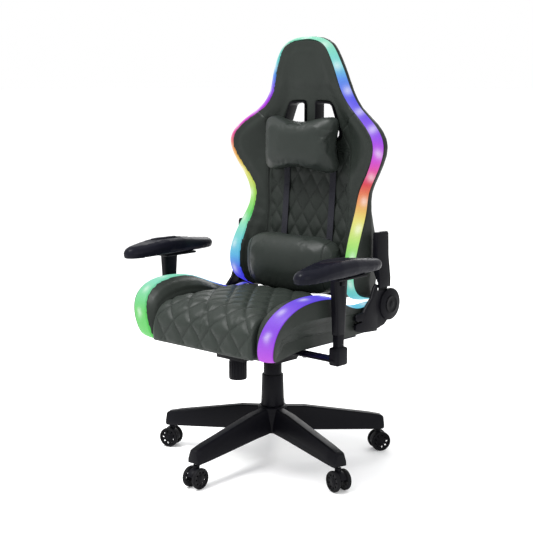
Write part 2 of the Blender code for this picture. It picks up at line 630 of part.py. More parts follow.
def build_back_front():
    loops = []
    columns = 10
    for where, front, outer, _ in back_rows():
        inner = back_inner(front, outer, where) - Vector((GAP, 0.0, 0.0))
        edge = front - Vector((GAP, 0.0, 0.0))
        edge.x, inner.x = max(edge.x, 0.0), max(inner.x, 0.0)
        middle, rear = read(BACK_MIDDLE, front.z)
        under = ease((where - (len(BACK_RIM) - 4)) / 2.4)
        middle = middle * (1 - under) + max(middle, edge.y) * under
        support = max(min(rear - 0.0085, 0.184), inner.y)
        row = []
        for column in range(columns + 1):
            x = edge.x * (2 * column / columns - 1)
            row.append(Vector((x, face_y(x, edge, middle), edge.z)))
        for column in range(columns + 1):
            x = inner.x * (1 - 2 * column / columns)
            across = abs(1 - 2 * column / columns)
            row.append(Vector((x, inner.y + (support - inner.y) * (1 - ease((across - 0.60) / 0.40)), inner.z)))
        loops.append(row)
    front_pad = add_part("back_front_pad", skin(loops), "leatherette", "recline")
    cut_openings(front_pad)


def opening_outline(grow):
    """One strap opening in (x, z), with rounded corners and an outward growth."""
    corners = ((0.019, 1.066), (0.082, 1.062), (0.119, 0.966), (0.104, 0.950), (0.019, 0.950))
    centre = Vector((0.062, 1.008))
    points = []
    for index, corner in enumerate(corners):
        here, before, after = Vector(corner), Vector(corners[index - 1]), Vector(corners[(index + 1) % 5])
        for other in (before, after):
            points.append(here + (other - here).normalized() * 0.006)
    return [point + (point - centre).normalized() * grow for point in points]


def cut_openings(part):
    for side in (1, -1):
        outline = [(side * x, z) for x, z in opening_outline(GAP)]
        combine(part, prism(outline, "Y", 0.05, 0.30), "DIFFERENCE", "recline")


def build_bezels():
    for name, side in (("left", 1), ("right", -1)):
        outer = [(side * x, z) for x, z in opening_outline(0.0)]
        inner = [(side * x, z) for x, z in opening_outline(-0.006)]
        loops = []
        for outline, y in ((outer, 0.166), (outer, 0.205), (inner, 0.205), (inner, 0.166)):
            loops.append([(x, y, z) for x, z in outline])
        add_part(f"strap_bezel_{name}", skin(loops, closed=True), "plastic", "recline")


def build_back_cover():
    """Rear shell: an outer skin from the band's outer edge, and a hollow for the frame."""
    rows = []
    clear = 0.22 * BAND_DEPTH
    for where, front, outer, side in back_rows():
        inner = back_inner(front, outer, where)
        _, rear = read(BACK_MIDDLE, outer.z)
        wide = outer.x
        row = []
        lip = Vector((inner.x, inner.y + clear, inner.z + 0.0014))
        rim = Vector((outer.x, outer.y + clear, outer.z))
        shape = [(rim.x, rim.y), (wide, 0.4 * rim.y + 0.6 * side), (wide - 0.010 * min(wide / 0.05, 1.0), side),
                 (0.88 * wide, 0.35 * side + 0.65 * rear), (0.70 * wide, rear), (0.30 * wide, rear)]
        right = [Vector((x, y, outer.z)) for x, y in shape]
        inside = [(0.30 * wide, rear - SHELL_WALL), (0.68 * wide, rear - SHELL_WALL)]
        hollow = [Vector((x, y, outer.z)) for x, y in inside]
        row = right + [Vector((-p.x, p.y, p.z)) for p in reversed(right)]
        back_of_pad = [Vector((-lip.x, lip.y, lip.z))]
        back_of_pad += [Vector((-p.x, p.y, p.z)) for p in reversed(hollow)] + hollow + [lip]
        rows.append(row + back_of_pad)
    cover = add_part("back_rear_cover", skin(rows), "leatherette", "recline")
    cut_openings(cover)


def build_back_frame():
    knots = ((0.135, 0.540), (0.155, 0.575), (0.153, 0.680), (0.145, 0.780), (0.148, 0.825), (0.132, 0.858))
    path = [curve([(x, z, 0.0) for x, z in knots], (len(knots) - 1) * step / 14) for step in range(15)]
    path = [Vector((x, 0.1955, z)) for x, z, _ in path]
    path += [Vector((-point.x, point.y, point.z)) for point in reversed(path)]
    loops = []
    for index, point in enumerate(path):
        along = (path[(index + 1) % len(path)] - path[index - 1]).normalized()
        across = along.cross(Vector((0.0, 1.0, 0.0)))
        loops.append([
            point + across * 0.009 * math.cos(math.tau * k / 8) + Vector((0.0, 0.009 * math.sin(math.tau * k / 8), 0.0))
            for k in range(8)
        ])
    add_part("back_frame", skin(loops, closed=True), "steel", "recline")


def pillow(name, half_x, half_z, place, front, rear, power, frame):
    loops = []
    for depth, size in ((front, 0.35), (front * 0.86, 0.72), (front * 0.45, 0.95), (0.0, 1.0),
                        (rear * 0.55, 0.94), (rear * 0.9, 0.70), (rear, 0.35)):
        loops.append([(place[0] + a * size, place[1] + depth, place[2] + b * size)
                      for a, b in oval(half_x, half_z, 28, power)])
    add_part(name, skin(loops), "pillow", frame)


def build_straps():
    path = [(0.196, 0.9585), (0.1665, 0.9585), (0.1640, 0.9560), (0.1635, 0.9460)]
    path += [(read(BACK_MIDDLE, z)[0] - 0.0012, z) for z in (0.930, 0.820, 0.700, 0.646)]
    half, thick = 0.011, 0.0015
    cross_section = ((-half, 0.0), (half, 0.0), (half, thick), (-half, thick))

    def run(middle):
        return skin([[(middle + x, y - shift, z + shift) for x, shift in cross_section] for y, z in path])

    strap = add_part("lumbar_straps", run(STRAP_X), "webbing", "recline")
    combine(strap, block((-STRAP_X, 0.1480, 0.648), (STRAP_X, 0.1510, 0.660)), "UNION", "recline")
    combine(strap, run(-STRAP_X), "UNION", "recline")


# Recline hinge

def build_hinge(name, side):
    y, z = RECLINE_AXIS.yz

    def plate(outline, low, high):
        near, far = sorted((side * low, side * high))
        return prism(outline, "X", near, far)

    inner, outer = BRACKET_X, BRACKET_X + BRACKET_THICKNESS
    seat_outline = [(y + 0.030 * math.cos(a), z + 0.030 * math.sin(a))
                    for a in (math.radians(-60 + 200 * k / 9) for k in range(10))]
    seat_outline += [(0.080, 0.472), (0.070, 0.460), (0.070, 0.428), (0.080, 0.420), (y, 0.430)]
    bracket = add_part(f"recliner_seat_bracket_{name}", plate(seat_outline, inner, outer), "steel", "tilt")
    stud_in, stud_out = outer - 0.001, outer + 0.0054
    stud = turned(((0.0, stud_in), (0.008, stud_in), (0.008, stud_out), (0.0, stud_out)), 16, "X", (0.0, y, z))
    bmesh.ops.scale(stud, verts=stud.verts, vec=(side, 1.0, 1.0))
    combine(bracket, stud, "UNION", "tilt")

    arm_in, arm_out = outer + 0.0012, outer + 0.0012 + BRACKET_THICKNESS
    jog = [(arm_in, z), (arm_in, 0.546), (0.2535, 0.586), (0.2535, 0.688), (0.2575, 0.688),
           (0.2575, 0.588), (arm_out, 0.548), (arm_out, z)]
    loops = [[(side * a, t, b) for a, b in jog] for t in (0.152, 0.192)]
    arm = add_part(f"recliner_back_bracket_{name}", skin(loops), "steel", "recline")
    lug = [(y + 0.026 * math.cos(a), z + 0.026 * math.sin(a)) for a in (math.radians(20 * k) for k in range(18))]
    combine(arm, plate(lug, arm_in, arm_out), "UNION", "recline")
    hole = rod(0.0083, 0.25, 0.35, 16, "X", (0.0, y, z))
    bmesh.ops.scale(hole, verts=hole.verts, vec=(side, 1.0, 1.0))
    combine(arm, hole, "DIFFERENCE", "recline")

    face = arm_out + GAP
    foot = z + DISC_RADIUS + 0.0055
    outline = [(0.2579, 0.588 + GAP), (0.2579, 0.691), (0.2600, 0.695), (0.2710, 0.695), (0.2750, 0.689),
               (0.2770, 0.625), (face + 0.008, 0.562), (face + 0.008, foot), (face, foot), (face, 0.5485)]
    loops = [[(side * a, t, b) for a, b in outline] for t in (0.143, 0.196)]
    add_part(f"recliner_upper_cover_{name}", skin(loops), "plastic", "recline")

    disc_in, disc_out = face + 0.0003, face + 0.0130
    disc = turned(((0.0, disc_in), (DISC_RADIUS, disc_in), (DISC_RADIUS, disc_out - 0.004),
                   (DISC_RADIUS - 0.006, disc_out), (0.0, disc_out)), 32, "X", (0.0, y, z))
    bmesh.ops.scale(disc, verts=disc.verts, vec=(side, 1.0, 1.0))
    cover = add_part(f"recliner_lower_cover_{name}", disc, "plastic", "tilt")
    front = [(0.140, 0.410), (0.140, 0.545), (0.134, 0.548), (0.124, 0.538), (0.112, 0.510), (0.086, 0.486),
             (0.076, 0.472), (0.046, 0.470), (0.040, 0.464), (0.040, 0.455), (0.046, 0.450), (0.068, 0.449),
             (0.068, 0.445), (0.046, 0.444), (0.040, 0.439), (0.040, 0.427), (0.048, 0.420), (0.086, 0.413)]
    combine(cover, plate(front, outer + GAP, arm_out + 0.004), "UNION", "tilt")
    web = [(y, 0.440), (y, 0.522), (y - 0.066, 0.530), (y - 0.070, 0.412), (y - 0.020, 0.424)]
    combine(cover, plate(web, disc_in, arm_out + 0.004), "UNION", "tilt")


def build_recline_lever():
    face = BRACKET_X + 2 * BRACKET_THICKNESS + 0.0012 + 0.004
    pivot = Vector((-(face + GAP), 0.100, 0.462))
    add_frame("recline_lever", pivot, "tilt")
    loops = []
    for y, z, high, thick, out in (
        (0.118, 0.459, 0.009, 0.0026, 0.0), (0.108, 0.461, 0.013, 0.0030, 0.0), (0.088, 0.463, 0.012, 0.0030, 0.0),
        (0.062, 0.463, 0.009, 0.0030, 0.0), (0.036, 0.462, 0.008, 0.0035, 0.007), (0.012, 0.461, 0.011, 0.0065, 0.012),
        (-0.030, 0.460, 0.012, 0.0075, 0.015), (-0.048, 0.460, 0.008, 0.0045, 0.018),
    ):
        loops.append([(pivot.x - thick - out + a, y, z + b) for a, b in oval(thick, high, 12, 2.6)])
    lever = add_part("recline_lever", skin(loops), "plastic", "recline_lever")
    stub = rod(LEVER_STUB_RADIUS, pivot.x - 0.002, pivot.x + 0.0055, 16, "X", (0.0, *pivot.yz))
    combine(lever, stub, "UNION", "recline_lever")
    cover = bpy.data.objects["recliner_lower_cover_right"]
    hole = rod(LEVER_STUB_RADIUS + GAP, pivot.x - 0.002, pivot.x + 0.0065, 16, "X", (0.0, *pivot.yz))
    combine(cover, hole, "DIFFERENCE", "tilt")


clear_scene()
for finish_name in FINISHES:
    make_finish(finish_name)
build_frames()
build_star_base()
build_casters()
build_column()
build_mechanism()
build_seat()
for arm_name, arm_side in (("left", 1), ("right", -1)):
    build_armrest(arm_name, arm_side)
    build_hinge(arm_name, arm_side)
build_recline_lever()
build_back_band()
build_back_front()
build_back_cover()
build_bezels()
build_back_frame()
build_straps()
pillow("head_pillow", 0.137, 0.084, (0.0, 0.138, 0.940), -0.056, 0.019, 5.0, "recline")
pillow("lumbar_pillow", 0.176, 0.082, (0.0, 0.100, 0.592), -0.060, 0.036, 4.0, "recline")
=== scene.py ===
"""Gaming chair with light bands: upholstery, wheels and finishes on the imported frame.

Metres, +Z up. The chair faces -Y, and its own left side is +X.
"""

import math

import bpy
import numpy as np
from mathutils import Matrix, Vector


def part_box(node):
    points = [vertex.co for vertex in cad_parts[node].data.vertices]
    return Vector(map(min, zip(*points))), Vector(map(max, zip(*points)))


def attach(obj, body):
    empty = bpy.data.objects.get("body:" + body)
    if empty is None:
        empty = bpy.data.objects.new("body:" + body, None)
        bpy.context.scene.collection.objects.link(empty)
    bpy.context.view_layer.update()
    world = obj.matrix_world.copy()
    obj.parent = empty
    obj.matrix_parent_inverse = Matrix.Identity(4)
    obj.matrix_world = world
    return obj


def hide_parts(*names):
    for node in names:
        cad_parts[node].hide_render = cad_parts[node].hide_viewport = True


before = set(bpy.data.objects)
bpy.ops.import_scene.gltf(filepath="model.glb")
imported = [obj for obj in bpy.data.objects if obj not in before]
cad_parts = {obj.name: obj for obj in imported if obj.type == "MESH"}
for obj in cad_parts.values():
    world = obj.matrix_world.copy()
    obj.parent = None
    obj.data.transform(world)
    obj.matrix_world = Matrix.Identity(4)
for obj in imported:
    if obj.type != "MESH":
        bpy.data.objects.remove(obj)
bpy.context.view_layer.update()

COLUMN_Y = 0.025             # the gas column's axis
CAMERA_PLACE = Vector((2.2235, -2.4515, 1.1140))
CAMERA_BACK = Vector((0.66383, -0.73121, 0.15707))
CAMERA_LENS = 77.35
# Studio lamps: name, place, size and power in watts.
LAMPS = (("key", (-0.8, -2.1, 4.3), 1.8, 270.0), ("fill", (3.4, -0.8, 1.9), 2.0, 24.0),
         ("rim", (-1.5, 3.0, 2.4), 1.6, 45.0))

SEAT_QUILT = (0.0735, 0.0940)    # diamond width and length on the seat
BACK_QUILT = (0.0520, 0.0780)    # diamond width and height on the back
BACK_QUILT_MIDDLE = 0.771        # height of one crossing on the middle line
PANEL_EDGE = 0.155               # seams beside the quilted back panel
PANEL_TOP = 0.926
CUSHION_EDGE = 0.190
# Top of the seat cushion along its middle, front bottom to rear: y, z.
SEAT_PROFILE = ((-0.279, 0.396), (-0.279, 0.436), (-0.271, 0.470), (-0.243, 0.497), (-0.195, 0.508),
                (-0.095, 0.511), (0.005, 0.512), (0.065, 0.506), (0.100, 0.480), (0.123, 0.455))
SEAT_CROSSING = 0.011            # path length from the profile's start to the first crossing
FIRST_ARM = -87.4                # degrees from +X
STEM_REACH = 0.3355              # column axis to caster stems
CASTER_TRAIL = 0.004
WHEEL_RADIUS = 0.030
WHEEL_WIDTH = 0.012
WHEEL_OFFSET = 0.018
HINGE = Vector((0.0, 0.220, 0.482))
BAND_CENTRE = (-0.040, 0.462)    # y and z that the seat bands run round
# Folds on the neck pillow: across and up as shares of its half sizes, slope, length, and depth in metres.
PILLOW_FOLDS = ((0.93, 0.28, -0.16, 0.34, 0.0036), (0.95, 0.02, 0.10, 0.26, 0.0026),
                (-0.96, 0.38, 0.14, 0.16, 0.0030), (0.90, 0.52, -0.30, 0.20, 0.0020),
                (-0.94, -0.25, -0.10, 0.16, 0.0016))
# Middle of the light band up one side of the back: distance out and height.
BACK_BAND_PATH = ((0.0, 1.25), (0.09, 1.222), (0.118, 1.17), (0.15, 1.095), (0.185, 1.047), (0.25, 1.003),
                  (0.285, 0.96), (0.286, 0.915), (0.255, 0.858), (0.225, 0.806), (0.218, 0.75),
                  (0.228, 0.68), (0.234, 0.61), (0.23, 0.55), (0.225, 0.50))
LAMP_PITCH = 0.078               # between the lamps behind a band
PRESSURE = 4.0                   # of the stuffing in a cushion


# Modelling

def deselect():
    if bpy.context.object and bpy.context.object.mode != "OBJECT":
        bpy.ops.object.mode_set(mode="OBJECT")
    bpy.ops.object.select_all(action="DESELECT")


def pick(piece):
    deselect()
    piece.select_set(True)
    bpy.context.view_layer.objects.active = piece
    return piece


def apply_all(piece):
    pick(piece)
    for modifier in list(piece.modifiers):
        bpy.ops.object.modifier_apply(modifier=modifier.name)
    return piece


def edit_all(piece):
    pick(piece)
    bpy.ops.object.mode_set(mode="EDIT")
    bpy.ops.mesh.select_all(action="SELECT")


def leave_edit():
    bpy.ops.object.mode_set(mode="OBJECT")


def newest(name):
    piece = bpy.context.object
    piece.name = name
    piece.data.name = name
    return piece


def settle(piece):
    """Puts a piece's place into its mesh."""
    pick(piece)
    bpy.ops.object.transform_apply(location=True, rotation=True, scale=True)
    return piece


def swing(piece, turn, y):
    """Turns a piece about the Z axis, then moves it along Y."""
    piece.rotation_euler = (0.0, 0.0, turn)
    piece.location = (0.0, y, 0.0)
    return settle(piece)


def cylinder(name, radius, depth, sides, place=(0.0, 0.0, 0.0), turn=(0.0, 0.0, 0.0)):
    bpy.ops.mesh.primitive_cylinder_add(vertices=sides, radius=radius, depth=depth, location=place,
                                        rotation=turn)
    return settle(newest(name))


def block(name, size, place, bevel):
    """A box with rounded edges."""
    bpy.ops.mesh.primitive_cube_add(size=1.0, location=place)
    piece = newest(name)
    piece.scale = size
    return add_bevel(settle(piece), bevel)


def cut(piece, cutter):
    boolean = piece.modifiers.new("cut", "BOOLEAN")
    boolean.operation = "DIFFERENCE"
    boolean.object = cutter
    apply_all(piece)
    bpy.data.objects.remove(cutter)


def join_triangles(piece):
    limit = math.radians(60)
    edit_all(piece)
    bpy.ops.mesh.tris_convert_to_quads(face_threshold=limit, shape_threshold=limit)
    leave_edit()


def select_faces(piece, wanted):
    """Leaves edit mode with only the wanted faces selected, then enters it again."""
    bpy.ops.mesh.select_all(action="DESELECT")
    leave_edit()
    for face in piece.data.polygons:
        face.select = bool(wanted(face))
    bpy.ops.object.mode_set(mode="EDIT")
    bpy.ops.mesh.select_mode(type="FACE")


def smooth(piece, angle=35):
    pick(piece)
    bpy.ops.object.shade_smooth_by_angle(angle=math.radians(angle))
    return piece


def add_bevel(piece, width, segments=2, angle=30):
    bevel = piece.modifiers.new("rounded edges", "BEVEL")
    bevel.width = width
    bevel.segments = segments
    bevel.limit_method = "ANGLE"
    bevel.angle_limit = math.radians(angle)
    bevel.use_clamp_overlap = True
    return apply_all(piece)


def copy_of_node(node, name):
    """A piece with a CAD node's shape, its loose triangles merged."""
    piece = bpy.data.objects.new(name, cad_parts[node].data.copy())
    bpy.context.scene.collection.objects.link(piece)
    piece.data.materials.clear()
    pick(piece)
    bpy.ops.mesh.customdata_custom_splitnormals_clear()
    edit_all(piece)
    bpy.ops.mesh.remove_doubles(threshold=2e-5)
    leave_edit()
    return piece


def merge(name, pieces):
    """Several pieces as one."""
    pick(pieces[0])
    for piece in pieces:
        piece.select_set(True)
    bpy.ops.object.join()
    return newest(name)


def finish_piece(piece, material, body, slot, *nodes):
    if material:
        piece.data.materials.clear()
        piece.data.materials.append(material)
    if nodes:
        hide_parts(*nodes)
    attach(piece, body)


def finish_soft(piece, material, body, slot, node):
    smooth(piece, 60)
    finish_piece(piece, material, body, slot, node)


def machined(node, body, slot, material, bevel, segments=2, angle=30):
    """A CAD node's shape with its flat faces joined up and its edges rounded."""
    piece = copy_of_node(node, f"{node}_finished")
    edit_all(piece)
    bpy.ops.mesh.dissolve_limited(angle_limit=math.radians(1.5))
    leave_edit()
    add_bevel(piece, bevel, segments, angle)
    smooth(piece)
    finish_piece(piece, material, body, slot, node)


# Soft pieces

def points_of(piece):
    co = np.empty(len(piece.data.vertices) * 3)
    piece.data.vertices.foreach_get("co", co)
    return co.reshape(-1, 3)


def normals_of(piece):
    normals = np.empty(len(piece.data.vertices) * 3)
    piece.data.vertex_normals.foreach_get("vector", normals)
    return normals.reshape(-1, 3)


def move_points(piece, co):
    piece.data.vertices.foreach_set("co", co.astype(np.float32).ravel())
    piece.data.update()


def ease(t):
    t = np.clip(t, 0.0, 1.0)
    return t * t * (3 - 2 * t)


def soft_copy(node, name, voxel, relax, reshape=None):
    """A CAD node's shape as one even skin, its edges relaxed."""
    piece = copy_of_node(node, name)
    if reshape:
        move_points(piece, reshape(points_of(piece), normals_of(piece)))
    skin = piece.modifiers.new("skin", "REMESH")
    skin.mode = "VOXEL"
    skin.voxel_size = voxel
    rounding = piece.modifiers.new("relax", "SMOOTH")
    rounding.factor = 0.5
    rounding.iterations = relax
    return apply_all(piece)


def inflate(piece, cap, share=None):
    """Fills a skin by cloth simulation. No point moves further than cap times its share."""
    rest = points_of(piece)
    cloth = piece.modifiers.new("stuffing", "CLOTH")
    cloth.settings.use_pressure = True
    cloth.settings.uniform_pressure_force = PRESSURE
    cloth.settings.effector_weights.gravity = 0.0
    cloth.settings.quality = 4
    cloth.point_cache.frame_start = 1
    cloth.point_cache.frame_end = 20
    for step in range(1, 21):
        bpy.context.scene.frame_set(step)
    apply_all(piece)
    bpy.context.scene.frame_set(1)
    moved = points_of(piece)
    shift = moved - rest
    length = np.linalg.norm(shift, axis=1)
    limit = cap * (np.ones(len(rest)) if share is None else share(rest))
    shift *= (np.minimum(length, limit) / np.maximum(length, 1e-9))[:, None]
    move_points(piece, rest + shift)
    return piece


def distance_to_node(points, node):
    """How far each point is from a CAD node's surface."""
    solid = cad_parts[node]
    found = [solid.closest_point_on_mesh(Vector(point)) for point in points]
    return np.array([(Vector(point) - hit[1]).length for point, hit in zip(points, found)])


def tuck_under(piece, node, depth, reach):
    """Presses a skin in where it comes near another piece, as a seam does."""
    co, normals = points_of(piece), normals_of(piece)
    near = 1 - ease(distance_to_node(co, node) / reach)
    move_points(piece, co - normals * (depth * near)[:, None])


def refine(piece, levels=1):
    surface = piece.modifiers.new("fine", "SUBSURF")
    surface.levels = levels
    surface.render_levels = levels
    return apply_all(piece)


def raise_by(piece, height):
    """Moves each point along its normal by height(points, normals)."""
    co, normals = points_of(piece), normals_of(piece)
    move_points(piece, co + normals * height(co, normals)[:, None])
    return piece


def add_uv(piece, name, first, second):
    """A UV map from two numbers for each point."""
    layer = piece.data.uv_layers.new(name=name)
    corners = np.empty(len(piece.data.loops), np.int32)
    piece.data.loops.foreach_get("vertex_index", corners)
    layer.data.foreach_set("uv", np.stack([first, second], 1)[corners].astype(np.float32).ravel())


def add_values(piece, name, values):
    layer = piece.data.attributes.new(name, "FLOAT", "POINT")
    layer.data.foreach_set("value", values.astype(np.float32))


def follow(points, path):
    """How far along a path (pairs) the nearest place to each point (pairs) is, and how near that is."""
    best = np.full(len(points), 1e9)
    along = np.zeros(len(points))
    start = 0.0
    for a, b in zip(np.array(path)[:-1], np.array(path)[1:]):
        length = np.linalg.norm(b - a)
        t = np.clip(((points - a) @ (b - a)) / length ** 2, 0.0, 1.0)
        gap = np.linalg.norm(points - (a + t[:, None] * (b - a)), axis=1)
        nearer = gap < best
        best[nearer] = gap[nearer]
        along[nearer] = start + t[nearer] * length
        start += length
    return along, best


def quilt_lines(across, along, size):
    """The two sets of diagonal lines: each is on a whole number."""
    return across / size[0] + along / size[1], across / size[0] - along / size[1]


def quilt_height(first, second, size, puff):
    """Stuffing between the stitched lines, and the narrow groove along them."""
    spacing = 1.0 / math.hypot(1.0 / size[0], 1.0 / size[1])
    gaps = [np.abs(lines - np.round(lines)) * spacing for lines in (first, second)]
    wide = [1 - np.exp(-(gap / 0.0085) ** 2) for gap in gaps]
    narrow = [np.exp(-(gap / 0.0021) ** 2) for gap in gaps]
    return puff * (wide[0] * wide[1] - 1.0) - 0.0012 * np.maximum(narrow[0], narrow[1])


def groove(distance, width=0.0024, depth=0.0022):
    return -depth * np.exp(-(distance / width) ** 2)


def seam_along(points, *line):
    """Height from a seam sewn along a line."""
    return groove(follow(points, line)[1])


def folded(points):
    """Distance from the middle plane, and height."""
    return np.stack([np.abs(points[:, 0]), points[:, 2]], 1)


# Finishes

def place_node(tree, kind, values=None, **settings):
    """Adds a node. A value may be a number, a colour or another node's output."""
    node = tree.nodes.new(kind)
    for key, value in settings.items():
        setattr(node, key, value)
    for key, value in (values or {}).items():
        if isinstance(value, bpy.types.NodeSocket):
            tree.links.new(value, node.inputs[key])
        else:
            node.inputs[key].default_value = value
    return node


def place_group(tree, group, values):
    return place_node(tree, "ShaderNodeGroup", values, node_tree=group).outputs


def object_place(tree):
    return place_node(tree, "ShaderNodeTexCoord").outputs["Object"]


def split(tree, vector):
    return place_node(tree, "ShaderNodeSeparateXYZ", {0: vector}).outputs


def noise(tree, place, scale, detail, **more):
    values = {"Vector": place, "Scale": scale, "Detail": detail, **more}
    return place_node(tree, "ShaderNodeTexNoise", values).outputs["Fac"]


def spread(tree, value, low, high, start=0.0, end=1.0, **settings):
    """A value that goes from start to end while another goes from low to high."""
    values = {"Value": value, 1: low, 2: high, 3: start, 4: end}
    return place_node(tree, "ShaderNodeMapRange", values, **settings).outputs[0]


def mix_colours(tree, factor, first, second, blend="MIX"):
    values = {0: factor, 6: first, 7: second}
    return place_node(tree, "ShaderNodeMix", values, data_type="RGBA", blend_type=blend).outputs[2]


def maths(tree, operation, first, second=0.0):
    return place_node(tree, "ShaderNodeMath", {0: first, 1: second}, operation=operation).outputs[0]


def times(tree, first, second):
    return maths(tree, "MULTIPLY", first, second)


def shade(colour, factor, lift=0.0):
    return (*(min(channel * factor + lift, 1.0) for channel in colour), 1.0)


def new_group(name, vector, numbers, results):
    """A node group that takes one vector and some numbers, and gives numbers."""
    group = bpy.data.node_groups.new(name, "ShaderNodeTree")
    group.interface.new_socket(vector, in_out="INPUT", socket_type="NodeSocketVector")
    for label, value in numbers.items():
        socket = group.interface.new_socket(label, in_out="INPUT", socket_type="NodeSocketFloat")
        socket.default_value = value
    for label in results:
        group.interface.new_socket(label, in_out="OUTPUT", socket_type="NodeSocketFloat")
    given = group.nodes.new("NodeGroupInput")
    made = group.nodes.new("NodeGroupOutput")
    return group, given.outputs, made.inputs


def new_material(name, colour, roughness, metallic=0.0, specular=0.5, sheen=0.0):
    material = bpy.data.materials.new(name)
    material.use_nodes = True
    tree = material.node_tree
    shader = tree.nodes["Principled BSDF"]
    for label, value in (("Base Color", (*colour, 1.0)), ("Roughness", roughness), ("Metallic", metallic),
                         ("Specular IOR Level", specular), ("Sheen Weight", sheen)):
        shader.inputs[label].default_value = value
    return material, tree, shader


def add_bump(tree, shader, height, strength, distance, before=None):
    values = {"Height": height, "Strength": strength, "Distance": distance}
    if before:
        values["Normal"] = before
    bump = place_node(tree, "ShaderNodeBump", values)
    tree.links.new(bump.outputs["Normal"], shader.inputs["Normal"])
    return bump.outputs["Normal"]


def make_grain_group():
    """Pebbled leather: fine cells, soft creases and slow changes of tone."""
    group, given, made = new_group("leather grain", "Place", {"Cells": 900.0}, ("Height", "Crease", "Tone"))
    place = given["Place"]
    cells = place_node(group, "ShaderNodeTexVoronoi", {"Vector": place, "Scale": given["Cells"]})
    pebbles = times(group, cells.outputs["Distance"], 0.8)
    specks = times(group, noise(group, place, 2600.0, 2.0), 0.35)
    group.links.new(maths(group, "ADD", pebbles, specks), made["Height"])
    group.links.new(noise(group, place, 38.0, 4.0, Distortion=0.6), made["Crease"])
    group.links.new(noise(group, place, 11.0, 3.0), made["Tone"])
    return group


def make_stitch_group():
    """Thread along both sets of quilting lines, and the valleys that it lies in, as a mask for painted shade.
    """
    group, given, made = new_group("quilt stitches", "Lines", {"Spacing": 0.045, "Stitches": 14.0},
                                   ("Thread", "Valley"))
    parts = split(group, given["Lines"])
    threads, valleys = [], []
    for own, other in (("X", "Y"), ("Y", "X")):
        shifted = maths(group, "ADD", parts[own], 0.5)
        offset = maths(group, "SUBTRACT", maths(group, "FRACT", shifted), 0.5)
        gap = times(group, maths(group, "ABSOLUTE", offset), given["Spacing"])
        line = spread(group, gap, 0.0004, 0.0008, 1.0, 0.0)
        valleys.append(spread(group, gap, 0.0, 0.0035, 1.0, 0.0, interpolation_type="SMOOTHSTEP"))
        beat = maths(group, "FRACT", times(group, parts[other], given["Stitches"]))
        dash = maths(group, "LESS_THAN", maths(group, "ABSOLUTE", maths(group, "SUBTRACT", beat, 0.5)), 0.34)
        threads.append(times(group, line, dash))
    group.links.new(maths(group, "MAXIMUM", *threads), made["Thread"])
    group.links.new(maths(group, "MAXIMUM", *valleys), made["Valley"])
    return group


def make_mould_group():
    """Moulded plastic: a fine spark texture, slow ripples and a little dust in the hollows."""
    group, given, made = new_group("moulded texture", "Place", {"Sparks": 1500.0},
                                   ("Height", "Ripple", "Dust"))
    place = given["Place"]
    group.links.new(noise(group, place, given["Sparks"], 2.0, Roughness=0.7), made["Height"])
    group.links.new(noise(group, place, 24.0, 2.0), made["Ripple"])
    dust = noise(group, place, 70.0, 5.0, Roughness=0.65)
    group.links.new(spread(group, dust, 0.45, 0.80), made["Dust"])
    return group


def make_weave_group():
    """Plain weave: threads over and under each other, as a height."""
    group, given, made = new_group("plain weave", "Place", {"Threads": 700.0}, ("Height", "Fuzz"))
    parts = split(group, given["Place"])
    sideways = maths(group, "ADD", parts["X"], parts["Y"])
    waves = [maths(group, "SINE", times(group, times(group, side, given["Threads"]), math.tau))
             for side in (sideways, parts["Z"])]
    height = maths(group, "ADD", times(group, times(group, *waves), 0.5), 0.5)
    group.links.new(height, made["Height"])
    group.links.new(noise(group, given["Place"], 420.0, 3.0), made["Fuzz"])
    return group


def make_leather(name, colour, groups, roughness=0.46, quilt=None, seam=False):
    material, tree, shader = new_material(name, colour, roughness, specular=0.17)
    grain = place_group(tree, groups["grain"], {"Place": object_place(tree), "Cells": 950.0})
    base = mix_colours(tree, grain["Tone"], shade(colour, 0.84), shade(colour, 1.22))
    rough = spread(tree, grain["Crease"], 0.3, 0.7, roughness - 0.05, roughness + 0.07)
    tree.links.new(rough, shader.inputs["Roughness"])
    normal = add_bump(tree, shader, grain["Crease"], 0.16, 0.003)
    normal = add_bump(tree, shader, grain["Height"], 0.22, 0.0004, normal)
    seams = []
    if quilt:
        spacing = 1.0 / math.hypot(1.0 / quilt[0], 1.0 / quilt[1])
        stitches_per_line = 0.5 * math.hypot(*quilt) / 0.0042
        lines = place_node(tree, "ShaderNodeUVMap", uv_map="quilt").outputs[0]
        thread = place_group(tree, groups["stitch"], {"Lines": lines, "Spacing": spacing,
                                                      "Stitches": round(stitches_per_line)})
        area = place_node(tree, "ShaderNodeAttribute", attribute_name="quilted").outputs["Fac"]
        # Painted shade: the leather colour is darkened along the quilting valleys.
        valley_shade = times(tree, times(tree, thread["Valley"], area), 0.55)
        seams.append((valley_shade, 0.35, times(tree, thread["Thread"], area)))
    if seam:
        parts = split(tree, place_node(tree, "ShaderNodeUVMap", uv_map="seam").outputs[0])
        off_seam = maths(tree, "ABSOLUTE", parts["X"])
        off_row = maths(tree, "ABSOLUTE", maths(tree, "SUBTRACT", off_seam, 0.0042))
        line = spread(tree, off_row, 0.0004, 0.0008, 1.0, 0.0)
        beat = maths(tree, "FRACT", times(tree, parts["Y"], 1 / 0.0045))
        # Painted shade: the leather colour is darkened in the fold along the seam.
        groove_shade = spread(tree, off_seam, 0.0, 0.0022, 0.65, 0.0)
        seams.append((groove_shade, 0.25, times(tree, line, maths(tree, "LESS_THAN", beat, 0.68))))
    # Each groove's painted shade darkens the colour, and the thread's own lighter colour goes over it.
    for groove_shade, darkness, sewn in seams:
        base = mix_colours(tree, groove_shade, base, shade(colour, darkness))
        base = mix_colours(tree, times(tree, sewn, 0.8), base, shade(colour, 1.5))
        normal = add_bump(tree, shader, sewn, 0.7, 0.0007, normal)
    tree.links.new(base, shader.inputs["Base Color"])
    return material


